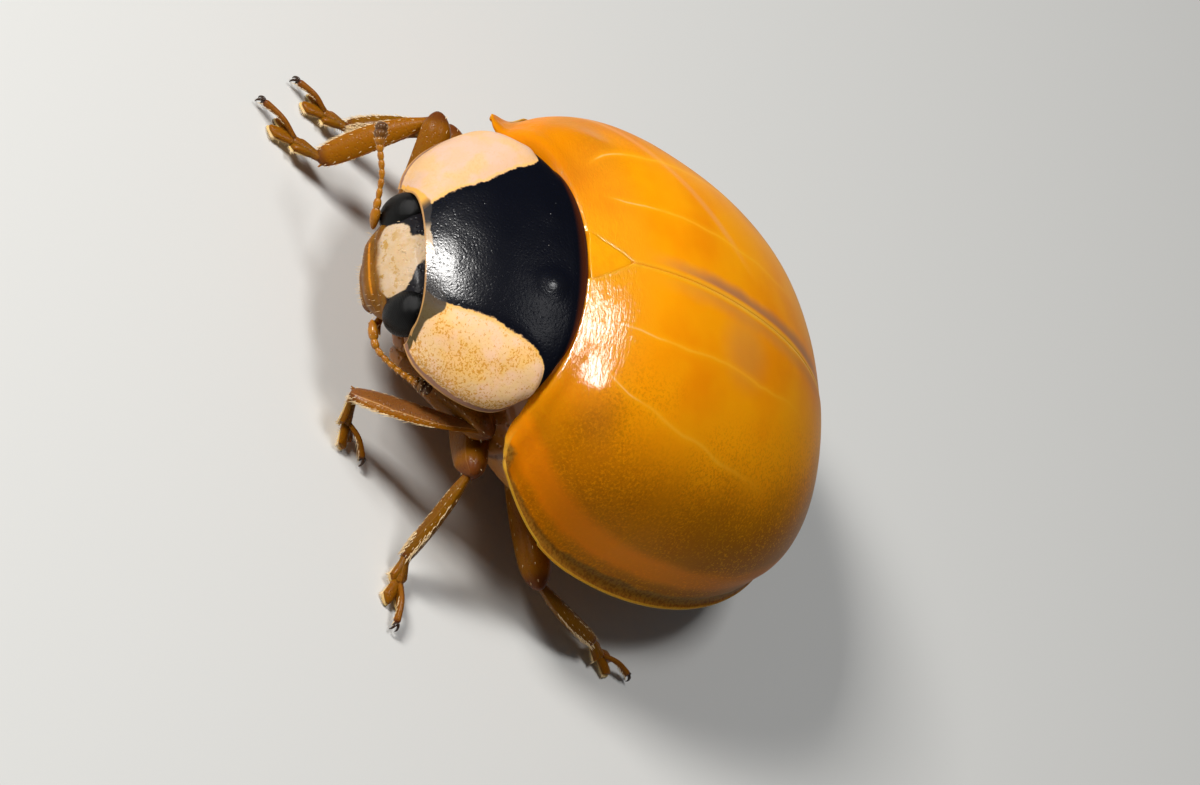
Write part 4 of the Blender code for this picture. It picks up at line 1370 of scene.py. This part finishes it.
def comb_leg(coat, thigh, shin, name):
    """Combs of flat hairs along the shin's outer edge, and sparse short hairs elsewhere."""
    front = name.startswith("front")
    shin.comb(coat, (0.36, 0.98, 24, 180, 0.060, 1.9))
    shin.comb(coat, *((0.66, 0.99, 18, degrees, 0.055, 1.9) for degrees in (168, 194)))
    sides = (0,) if front else (0, 90, 270)
    shin.comb(coat, *((0.20, 0.98, 24, degrees, 0.036, 2.4) for degrees in sides))
    shin.comb(coat, *((0.2, 0.95, 9, degrees, 0.030, 2.8) for degrees in (40, 140, 220, 320)))
    if not front:
        brush = [degrees if name.endswith("left") else 360 - degrees for degrees in range(252, 300, 8)]
        shin.comb(coat, *((0.74, 0.95, 16, degrees, 0.046, 2.8) for degrees in brush))
    thigh.comb(coat, *((0.3, 0.95, 8, degrees, 0.028, 2.4) for degrees in (150, 210, 40, 320)))


def make_leg(name, joints, looks, trees):
    """Thigh, shin and foot, with their hairs."""
    hip, knee, ankle = (np.array(joint) for joint in joints[:3])
    toe = np.array((*joints[3], -RIM_HEIGHT + TOE_HEIGHT))
    bend = unit(np.cross(knee - hip, ankle - knee))
    front = name.startswith("front")
    coat = Coat(sum(map(ord, name)))
    thigh = thigh_limb(hip, knee, bend)
    piece = add_skin(f"thigh_{name}", thigh.skin(56, 34))
    finish_piece(piece, looks["leg"], [f"femur_{name}"])
    shin = shin_limb(knee, ankle, bend, *(FRONT_SHIN_SIZE if front else SHIN_SIZE))
    ball = blob_rings(knee, (0.082, 0.082, 0.075))
    ball = (ball, plain_fields(ball, along=0.0))
    piece = add_skin(f"shin_{name}", shin.skin(60, 36), ball, *spur_skins(knee, ankle, bend))
    finish_piece(piece, looks["front_shin" if front else "shin"], [f"tibia_{name}"])
    comb_leg(coat, thigh, shin, name)
    make_foot(name, ankle, toe, looks, coat)
    coat.grown(f"leg_hairs_{name}", trees["bristles"], 0.0062, looks["hair"], "leg")


def leg_material(name, colours, hind_face):
    """Clear amber horn, redder and darker at the joints, with a darker, pitted hind face up to a ridge,
    which has a painted highlight along it.
    """
    look = Finish(name, 0.32, coat=0.05, coat_roughness=0.12, glow=0.30, glow_reach=0.18, gloss=0.09)
    along = look.field("along")
    ends = look.maths("MAXIMUM", look.between(along, 0.16, 0.02), look.between(along, 0.86, 0.99))
    ragged = ends + look.grain(9.0, detail=3.0) * 0.35
    look.colour = look.mix(look.between(ragged, 0.25, 1.15), *colours)
    band = look.field("inner") * 0.75 - look.field("face") + (look.grain(6.0) - 0.5) * 0.3
    band = band - look.between(along, 0.3, 1.0, 0.15, 0.55)
    look.paint(look.between(band, 0.05, 0.25, 0.0, hind_face), HIND_FACE)
    # painted highlight: a pale line along the ridge
    ridge = look.line(band - 0.02, 0.07, soft=1.0) * hind_face
    look.paint(ridge * 0.6, RIDGE_HIGHLIGHT)
    pits = look.between(look.cells(40.0), 0.14, 0.30, 1.0, 0.0) * look.between(band, 0.0, 0.3, 0.0, 1.0)
    look.paint(pits * 0.7, PITS)
    look.raise_surface(look.between(look.cells(24.0), 0.05, 0.40), 0.004)
    look.raise_surface(look.grain(24.0, detail=2.0), 0.003)
    return look.done()


def plain_material(name, colour, roughness, coat=0.0, glow=0.0, grain=0.0, second=None):
    look = Finish(name, roughness, coat=coat, glow=glow, glow_reach=0.12, gloss=0.20)
    look.colour = colour
    if grain:
        look.raise_surface(look.grain(22.0, detail=2.0), grain)
    if second:
        look.paint(look.between(look.grain(6.0, detail=3.0), 0.35, 0.7), second)
    return look.done()


# Head


def signed_distance(points, outline):
    """Distance from points (x, z) to a closed outline, positive inside it."""
    outline = np.asarray(outline, float)
    nearest = np.full(len(points), 1e9)
    inside = np.zeros(len(points), bool)
    for start, end in zip(outline, np.roll(outline, -1, axis=0)):
        way = end - start
        t = np.clip(((points - start) @ way) / (way @ way), 0, 1)
        nearest = np.minimum(nearest, np.linalg.norm(points - start - t[:, None] * way, axis=1))
        crosses = (start[1] > points[:, 1]) != (end[1] > points[:, 1])
        slope = (end[0] - start[0]) / (end[1] - start[1] if end[1] != start[1] else 1e-9)
        inside ^= crosses & (points[:, 0] < start[0] + (points[:, 1] - start[1]) * slope)
    return np.where(inside, nearest, -nearest)


def make_head(looks):
    """The face capsule with its brow, ledge over the mouth and pits for the antennae."""
    rows, columns = 84, 150
    low, high = HEAD_STATIONS[0][0], HEAD_STATIONS[-1][0]
    angles = np.linspace(0, 2 * math.pi, columns, endpoint=False) - math.pi / 2
    right = np.sign(np.cos(angles)) * np.abs(np.cos(angles)) ** 0.8
    back = np.sign(np.sin(angles)) * np.abs(np.sin(angles)) ** 0.8
    rings = []
    for row in range(rows + 1):
        z = low + (high - low) * row / rows
        half, front = stations_at(HEAD_STATIONS, z)
        middle, depth = (front + HEAD_BACK_Y) / 2, (HEAD_BACK_Y - front) / 2
        rings.append(np.stack([half * right, middle + depth * back, np.full(columns, z)], axis=-1))
    rings = np.array(rings)
    x, y, z = np.moveaxis(rings, -1, 0)
    relief = 0.030 * hump(z - 0.02, 0.09) * smooth_step(0.50, 0.30, np.abs(x))
    relief -= 0.020 * hump(z - 0.17, 0.035) * smooth_step(0.55, 0.30, np.abs(x))
    relief -= 0.030 * hump(np.hypot(np.abs(x) - 0.50, z - 0.16), 0.07)
    relief += 0.018 * hump(np.hypot(x * 0.8, z - 0.52), 0.25)
    relief += 0.008 * rough_field(rings, 5.0, 21) + 0.004 * rough_field(rings, 14.0, 22)
    rings[..., 1] -= relief * smooth_step(-1.25, -1.50, y)
    bottom = closing_rings(rings[0], np.array((0, -1.30, low)), np.array((0, 0, -1.0)), 7, 0.10)
    top = closing_rings(rings[-1], np.array((0, -1.24, high)), np.array((0, 0, 1.0)), 7, 0.08)
    rings = capped(bottom, rings, top)
    flat = rings.reshape(-1, 3)
    cream = np.where(flat[:, 1] < -1.2, signed_distance(flat[:, [0, 2]], CREAM_FACE), -1.0)
    finish_piece(add_skin("face", (rings, {"cream": cream})), looks["head"], ["head"])


def head_material():
    """Black above, amber below with a painted highlight along the ledge over the mouth, and a cream patch
    with ochre marks between the eyes.
    """
    look = Finish("face horn", 0.40, coat=0.05, coat_roughness=0.14, glow=0.18, glow_reach=0.15, gloss=0.12)
    height, wide = look.axis("Z"), abs(look.axis("X"))
    cream = look.mix(look.between(look.grain(7.0, detail=3.0), 0.35, 0.65), *FACE_CREAM)
    marks = look.between(look.grain(6.5, detail=4.0, roughness=0.75), 0.53, 0.60)
    cream = look.mix(marks * (look.between(height, 0.62, 0.40, 0.35, 1.0) * 0.8), cream, FACE_MARKS)
    amber = look.mix(look.between(look.grain(5.0, detail=2.0), 0.3, 0.7), *FACE_AMBER)
    mottled = look.between(look.grain(12.0, detail=3.0), 0.45, 0.60) * 0.55
    amber = look.mix(mottled * look.between(height, 0.0, 0.3), amber, FACE_MOTTLE)
    # painted highlight: an orange stripe along the ledge over the mouth
    ridge = look.line(height - 0.115, 0.022, soft=0.8) * look.between(wide, 0.36, 0.30)
    amber = look.mix(ridge, amber, FACE_RIDGE_HIGHLIGHT)
    ragged_height = height + look.grain(7.0, detail=2.0) * 0.14
    face = look.mix(look.between(ragged_height, 0.36, 0.42), amber, FACE_BLACK)
    cream_edge = look.field("cream") + look.grain(9.0, detail=3.0) * 0.09 - 0.045
    look.colour = look.mix(look.between(cream_edge, -0.010, 0.012), face, cream)
    fade = look.between(ragged_height, 0.40, 0.28) * look.between(wide, 0.56, 0.50)
    look.paint(fade, amber)
    look.raise_surface(look.between(look.cells(15.0), 0.05, 0.35), 0.006)
    look.raise_surface(look.grain(30.0, detail=2.0), 0.003)
    return look.done()


def make_eyes(looks, trees):
    for name, side in (("left", 1), ("right", -1)):
        middle = seat(np.array(EYE_CENTRE) * (side, 1, 1))
        sizes = {
            "Middle": tuple(map(float, middle)),
            "Radii": tuple(radius * MM for radius in EYE_RADII),
            "Dome": 0.012,
            "Material": looks["eye"],
        }
        place_piece(grow(f"facet_eye_{name}", trees["facets"], sizes), [f"eye_{name}"])


def make_mouth(looks, trees):
    """Upper lip, jaws, palps with their broad end joints, and the hairs round the mouth."""
    coat = Coat(5)
    lip = blob_rings(LABRUM_CENTRE, (0.30, 0.115, 0.085), rows=20, columns=40)
    x, y, _z = np.moveaxis(lip, -1, 0)
    lip[..., 1] += 0.035 * hump(x, 0.06) * smooth_step(-1.40, -1.50, y)
    chin = blob_rings((0, -1.22, -0.30), (0.26, 0.16, 0.07))
    finish_piece(add_skin("upper_lip", (lip, {}), (chin, {})), looks["mouth"], ["labrum"])
    jaws = []
    for side in (1, -1):
        route = [(side * 0.25, -1.22, -0.26), (side * 0.20, -1.32, -0.29), (side * 0.03, -1.36, -0.30)]
        stations = ((0.0, 0.055, 0.05), (0.6, 0.045, 0.035), (1.0, 0.010, 0.010))
        jaw = Limb(route, stations, (0, 0, 1), blunt=(0.1, 0.05))
        jaws.append(jaw.skin(24, 16))
    finish_piece(add_skin("jaws", *jaws), looks["jaw"])
    for name, side in (("left", 1), ("right", -1)):
        a, b, c = (np.array((side * x, y, z)) for x, y, z in PALP_ROUTE)
        stalk = Limb([a, (a + b) / 2 + (0, 0, 0.01), b], ((0, 0.035, 0.035), (1, 0.05, 0.045)), (0, 0, 1))
        stations = ((0, 0.05, 0.045), (0.5, 0.075, 0.05), (1, 0.115, 0.05))
        joint = Limb([b - (b - a) * 0.1, (b + c) / 2, c], stations, (0, 0, 1), blunt=(0.2, 0.18))
        piece = add_skin(f"feeding_palp_{name}", stalk.skin(20, 16), joint.skin(30, 20))
        finish_piece(piece, looks["feeler"], [f"palp_{name}"])
        joint.comb(coat, *((0.3, 0.95, 8, degrees, 0.035, 0.8) for degrees in (0, 90, 180, 270)))
    for index in range(26):
        x = -0.25 + 0.02 * index
        coat.add((x, -1.465 + 0.5 * x * x, -0.22), (0.2 * x, -0.7, -0.7), 0.06)
    for index in range(34):
        x = -0.56 + 0.034 * index
        z = 0.10 + 0.04 * coat.chance.standard_normal()
        coat.add((x, -1.63 + 0.25 * x * x, z), (0.9 * x, -0.9, -0.25), 0.055, (0, 0, -0.3))
    for index in range(40):
        x, z = coat.chance.uniform(-0.45, 0.45), coat.chance.uniform(0.2, 0.75)
        coat.add((x, -1.655 + 0.15 * x * x, z), (0.3 * x, -0.5, -0.9), 0.028)
    coat.grown("mouth_hairs", trees["bristles"], 0.0045, looks["hair"], "mouthparts")


def make_feeler(name, route, looks, trees):
    """Eleven joints: a stout first one, small beads and a three-jointed club."""
    curve = [(index / (len(route) - 1), *point) for index, point in enumerate(route)]
    samples = np.array([stations_at(curve, share) for share in np.linspace(0, 1, 200)])
    travelled = walked(samples, 0)
    scale = travelled[-1] / sum(length for length, _girth in FEELER_JOINTS)
    coat = Coat(31)
    at, centres, ways, girths = 0.0, [], [], []
    for index, (length, girth) in enumerate(FEELER_JOINTS):
        length *= scale
        near, middle, far = (
            np.array([np.interp(at + part * length, travelled, samples[:, axis]) for axis in range(3)])
            for part in (0.0, 0.5, 1.0)
        )
        at += length
        club = index > LAST_THIN_JOINT
        centres.append(middle)
        ways.append((far - near) * 0.5 * (1.75 if club else 1.5))
        girths.append(girth)
        way = unit(far - near)
        first = unit(np.cross(way, (0.3, 0.2, 1.0)))
        hairs = 14 if club else 6
        for turn in range(hairs):
            angle = 2 * math.pi * turn / hairs + index
            out = first * math.cos(angle) + np.cross(way, first) * math.sin(angle)
            place = middle + out * girth * 0.9 + way * length * coat.chance.uniform(-0.2, 0.35)
            coat.add(place, out + way * 0.9, 0.030 if club else 0.026)
    fields = {"way": np.array(ways) * MM, "girth": np.array(girths) * MM}
    sizes = {"Flare": 0.24, "Material": looks["feeler"]}
    piece = grow(f"feeler_{name}", trees["beads"], sizes, seat(centres), fields)
    place_piece(piece, [f"antenna_{name}"])
    coat.grown(f"feeler_hairs_{name}", trees["bristles"], 0.0035, looks["hair"], "antenna")


def feeler_material(ends):
    """Amber joints and a dusky club; ends are the tips of both feelers."""
    look = Finish("feeler horn", 0.30, coat=0.2, coat_roughness=0.1, glow=0.15, glow_reach=0.06, gloss=0.2)
    look.colour = look.mix(look.between(look.grain(12.0), 0.3, 0.7), *FEELER)
    nearest = look.maths("MINIMUM", *(look.distance(end) for end in ends))
    look.paint(look.between(nearest, 0.27, 0.10, 0.0, 0.85), FEELER_CLUB)
    return look.done()


# Trunk


def trunk_ring(y, columns):
    """A cross-section of the trunk: inside the wing cases above, flatly rounded below."""
    share = (y - CASE_FRONT_Y) / CASE_LENGTH
    for _ in range(8):
        share = min((y - CASE_FRONT_Y + TRUNK_GAP * share**2) / CASE_LENGTH, 0.995)
    waist = 1 - 0.22 * max(1 - (y - WAIST_Y) / 0.9, 0.0) ** 2
    inward = 1 - 0.52 / max(case_half_width(share), 0.84)
    low = case_rim(share) - 0.02
    lower = max(1 - TRUNK_GAP / max(case_crest(share) - low, 0.9), 0.25)
    points = []
    for column in range(columns + 1):
        x, z = case_section(share, 0.94 * column / columns)
        points.append((x * inward * waist, y, low + (z - low) * lower))
    half, edge = points[-1][0], points[-1][2]
    close = min(max((y - SEGMENT_Y) / (TRUNK_END_Y - SEGMENT_Y), 0.0), 1.0)
    depth = edge - BELLY_Z * (1 - close**3) + 0.03
    for column in range(1, columns + 1):
        angle = math.radians(90 - 90 * column / columns)
        points.append((half * math.sin(angle), y, edge - depth * math.cos(angle) ** 0.7))
    return points + [(-x, y, z) for x, y, z in reversed(points[1:-1])]


def make_trunk(name, start_y, end_y, rows, plates, node, material, columns=36):
    """Part of the trunk. Each plate of its underside overlaps the next by a small step."""
    ys = [start_y + (end_y - start_y) * row / rows for row in range(rows + 1)]
    rings = np.array([trunk_ring(y, columns) for y in ys])
    low = rings[..., 2] < rings[..., 2].mean(axis=1, keepdims=True)
    bent = rings[..., 1] + 0.10 * (rings[..., 0] / 2.0) ** 2
    behind = bent[..., None] - np.array(plates)
    seams = np.abs(behind).min(axis=-1)
    passed = np.where(behind >= 0, behind, 9).min(axis=-1)
    step = 0.035 * np.exp(-passed / 0.10) - 0.012 * hump(seams, 0.02)
    rings[..., 2] += np.where(low, step, 0.0)
    middle = rings.mean(axis=1, keepdims=True)
    front = closing_rings(rings[0], middle[0], np.array((0, -1.0, 0)), 5, 0.02)
    rear = closing_rings(rings[-1], middle[-1], np.array((0, 1.0, 0)), 6, 0.02)
    seams = padded(seams, len(front), len(rear))
    piece = add_skin(name, (capped(front, rings, rear), {"seam": seams}))
    return finish_piece(piece, material, [node])


def make_forebody(material):
    """What the neck shield covers: the front of the chest, which carries the front legs."""
    rings = []
    for row in range(31):
        share = CHEST_FRONT + (0.97 - CHEST_FRONT) * row / 30
        half, crest_z, edge_z, crest_y, edge_y = stations_at(PRONOTUM_STATIONS, share)
        half *= CHEST_SHRINK
        waist = edge_z - 0.14
        top = crest_z - 0.38 - waist
        depth = waist - BELLY_Z - 0.30 * (1 - row / 30) ** 2
        ring = []
        for column in range(72):
            angle = 2 * math.pi * column / 72
            y = min(crest_y + (edge_y - crest_y) * math.sin(angle) ** 2 + 0.02, WAIST_Y - 0.03)
            reach = top if math.cos(angle) > 0 else depth
            ring.append((half * math.sin(angle), y, waist + reach * math.cos(angle)))
        rings.append(ring)
    rings = np.array(rings)
    rings[..., 2] -= 0.0175 * hump(rings[..., 0], 0.16) * (rings[..., 2] < 0.0)
    front = closing_rings(rings[0], rings[0].mean(0), np.array((0, -1.0, -0.2)), 6, 0.05)
    rear = closing_rings(rings[-1], rings[-1].mean(0), np.array((0, 1.0, 0)), 4, 0.01)
    rings = capped(front, rings, rear)
    piece = add_skin("front_chest", (rings, {"seam": np.ones(rings.shape[:2])}))
    finish_piece(piece, material, ["prothorax"])


def make_hips(material):
    """The rounded hip and ring joint between the chest and each thigh."""
    for name, joints in LEG_JOINTS.items():
        hip, knee = np.array(joints[0]), np.array(joints[1])
        way = unit(knee - hip)
        across = unit(np.cross(way, (0, 0, 1)))
        turn = np.array((way, across, np.cross(way, across)))
        inner = np.array((hip[0] * 0.62, hip[1], hip[2] + 0.06))
        broad = (0.34, 0.20, 0.17) if name.startswith("front") else (0.36, 0.22, 0.12)
        balls = (
            blob_rings(inner, broad, rows=16, columns=26),
            blob_rings(hip - way * 0.02, (0.19, 0.15, 0.14), turn),
        )
        stacks = [(rings, {"seam": np.ones(rings.shape[:2])}) for rings in balls]
        finish_piece(add_skin(f"hip_{name}", *stacks), material)


def make_belly_hairs(looks, trees):
    """Short pale down on the underside."""
    coat = Coat(77)
    for _ in range(700):
        y = coat.chance.uniform(0.1, 4.5)
        ring = np.array(trunk_ring(y, 24))
        place = ring[int(coat.chance.integers(27, 70))]
        out = unit((place[0] * 0.3, 0, -1.0))
        coat.add(place - out * 0.01, out * 0.5 + np.array((0, 1.0, 0)), 0.055, (0, 0.2, 0.1))
    coat.grown("belly_down", trees["bristles"], 0.005, looks["hair"], "underside")


def trunk_material():
    look = Finish("underside horn", 0.36, coat=0.3, coat_roughness=0.15, glow=0.25, glow_reach=0.25)
    look.colour = look.mix(look.between(look.grain(2.2, detail=3.0), 0.3, 0.7), *UNDERSIDE)
    middle = look.between(abs(look.axis("X")), 1.3, 0.2, 0.0, 0.45)
    look.paint(middle, UNDERSIDE_MIDDLE)
    look.paint(look.between(look.field("seam"), 0.05, 0.01, 0.0, 0.8), PLATE_SEAM)
    look.raise_surface(look.between(look.cells(12.0), 0.05, 0.35), 0.010)
    look.raise_surface(look.grain(16.0, detail=3.0), 0.004)
    return look.done()


# Studio


def make_camera():
    """The camera's place follows from its azimuth, elevation and roll about the aimed point."""
    azimuth, elevation = VIEW_AZIMUTH, VIEW_ELEVATION
    level = Vector((math.cos(azimuth), math.sin(azimuth), 0.0))
    back = Vector((
        math.sin(azimuth) * math.cos(elevation),
        -math.cos(azimuth) * math.cos(elevation),
        math.sin(elevation),
    ))
    up = back.cross(level)
    right = level * math.cos(VIEW_ROLL) + up * math.sin(VIEW_ROLL)
    up = back.cross(right)
    camera = add_object("camera", bpy.data.cameras.new("camera"))
    camera.data.lens = LENS
    camera.data.sensor_width = SENSOR
    camera.data.clip_start = 0.001
    matrix = camera.matrix_world.to_3x3()
    for row in range(3):
        matrix[row] = (right[row], up[row], back[row])
    camera.matrix_world = matrix.to_4x4()
    camera.location = Vector(seat(VIEW_AIM)) + back * VIEW_DISTANCE * MM
    bpy.context.scene.camera = camera


def add_light(name, direction, distance, size, energy, colour=(1.0, 1.0, 1.0)):
    """A square soft light aimed at the beetle; direction is from the beetle to the light."""
    light = bpy.data.lights.new(name, "AREA")
    light.size = size * MM
    light.energy = energy
    light.color = colour
    lamp = add_object(name, light)
    way = Vector(direction).normalized()
    lamp.location = Vector(seat((0.0, 1.2, 1.2))) + way * distance * MM
    lamp.rotation_euler = way.to_track_quat("Z", "Y").to_euler()


def make_floor():
    """A large sheet of pale paper under the feet."""
    corners = [(x * FLOOR_REACH, y * FLOOR_REACH, 0) for x, y in ((-1, -1), (1, -1), (1, 1), (-1, 1))]
    mesh = bpy.data.meshes.new("floor")
    mesh.from_pydata(corners, [], [(0, 1, 2, 3)])
    floor = add_object("floor", mesh)
    paper = bpy.data.materials.new("pale paper")
    paper.use_nodes = True
    shader = paper.node_tree.nodes["Principled BSDF"]
    shader.inputs["Base Color"].default_value = PAPER
    shader.inputs["Roughness"].default_value = 0.85
    mesh.materials.append(paper)


def make_studio():
    scene = bpy.context.scene
    scene.view_settings.view_transform = "Standard"
    world = bpy.data.worlds.new("studio air")
    world.use_nodes = True
    air = world.node_tree.nodes["Background"]
    air.inputs["Color"].default_value = AIR
    air.inputs["Strength"].default_value = AIR_STRENGTH
    scene.world = world
    add_light("key light", (-0.31, -0.83, 0.54), 70.0, 16.0, 0.052, (1.0, 0.98, 0.95))
    add_light("top light", (-0.12, -0.18, 0.975), 70.0, 20.0, 0.020)
    make_floor()


def main():
    make_camera()
    make_studio()
    horn = wing_case_material()
    for name, side in (("wing_case_left", 1), ("wing_case_right", -1)):
        make_wing_case(name, side, horn)
    make_scutellum(scutellum_material())
    make_pronotum(pronotum_material())
    looks = {
        "leg": leg_material("thigh horn", THIGH, 0.20),
        "front_shin": leg_material("front shin horn", FRONT_SHIN, 0.80),
        "shin": leg_material("shin horn", SHIN, 0.12),
        "claw": plain_material("claw horn", CLAW, 0.28, coat=0.4),
        "pad": plain_material("pale pad", PALE_PAD, 0.55, glow=0.3, grain=0.004),
        "hair": plain_material("golden hair", GOLDEN_HAIR, 0.38),
        "eye": plain_material("eye horn", EYE_BLACK, 0.26),
        "head": head_material(),
        "mouth": plain_material("lip horn", LIP[0], 0.34, coat=0.10, glow=0.35, grain=0.004, second=LIP[1]),
        "jaw": plain_material("jaw horn", JAW, 0.25, coat=0.4),
        "feeler": feeler_material([route[-1] for route in FEELER_ROUTES.values()]),
    }
    trees = {"bristles": bristle_tree(), "beads": bead_tree(), "facets": facet_tree()}
    make_head(looks)
    make_eyes(looks, trees)
    make_mouth(looks, trees)
    for name, route in FEELER_ROUTES.items():
        make_feeler(name, route, looks, trees)
    horn = trunk_material()
    make_forebody(horn)
    make_trunk("chest", WAIST_Y, SEGMENT_Y - 0.01, 60, CHEST_PLATES, "thorax", horn)
    make_trunk("belly", SEGMENT_Y + 0.01, TRUNK_END_Y, 110, BELLY_PLATES, "abdomen", horn)
    make_hips(horn)
    make_belly_hairs(looks, trees)
    for name, joints in LEG_JOINTS.items():
        make_leg(name, joints, looks, trees)


main()
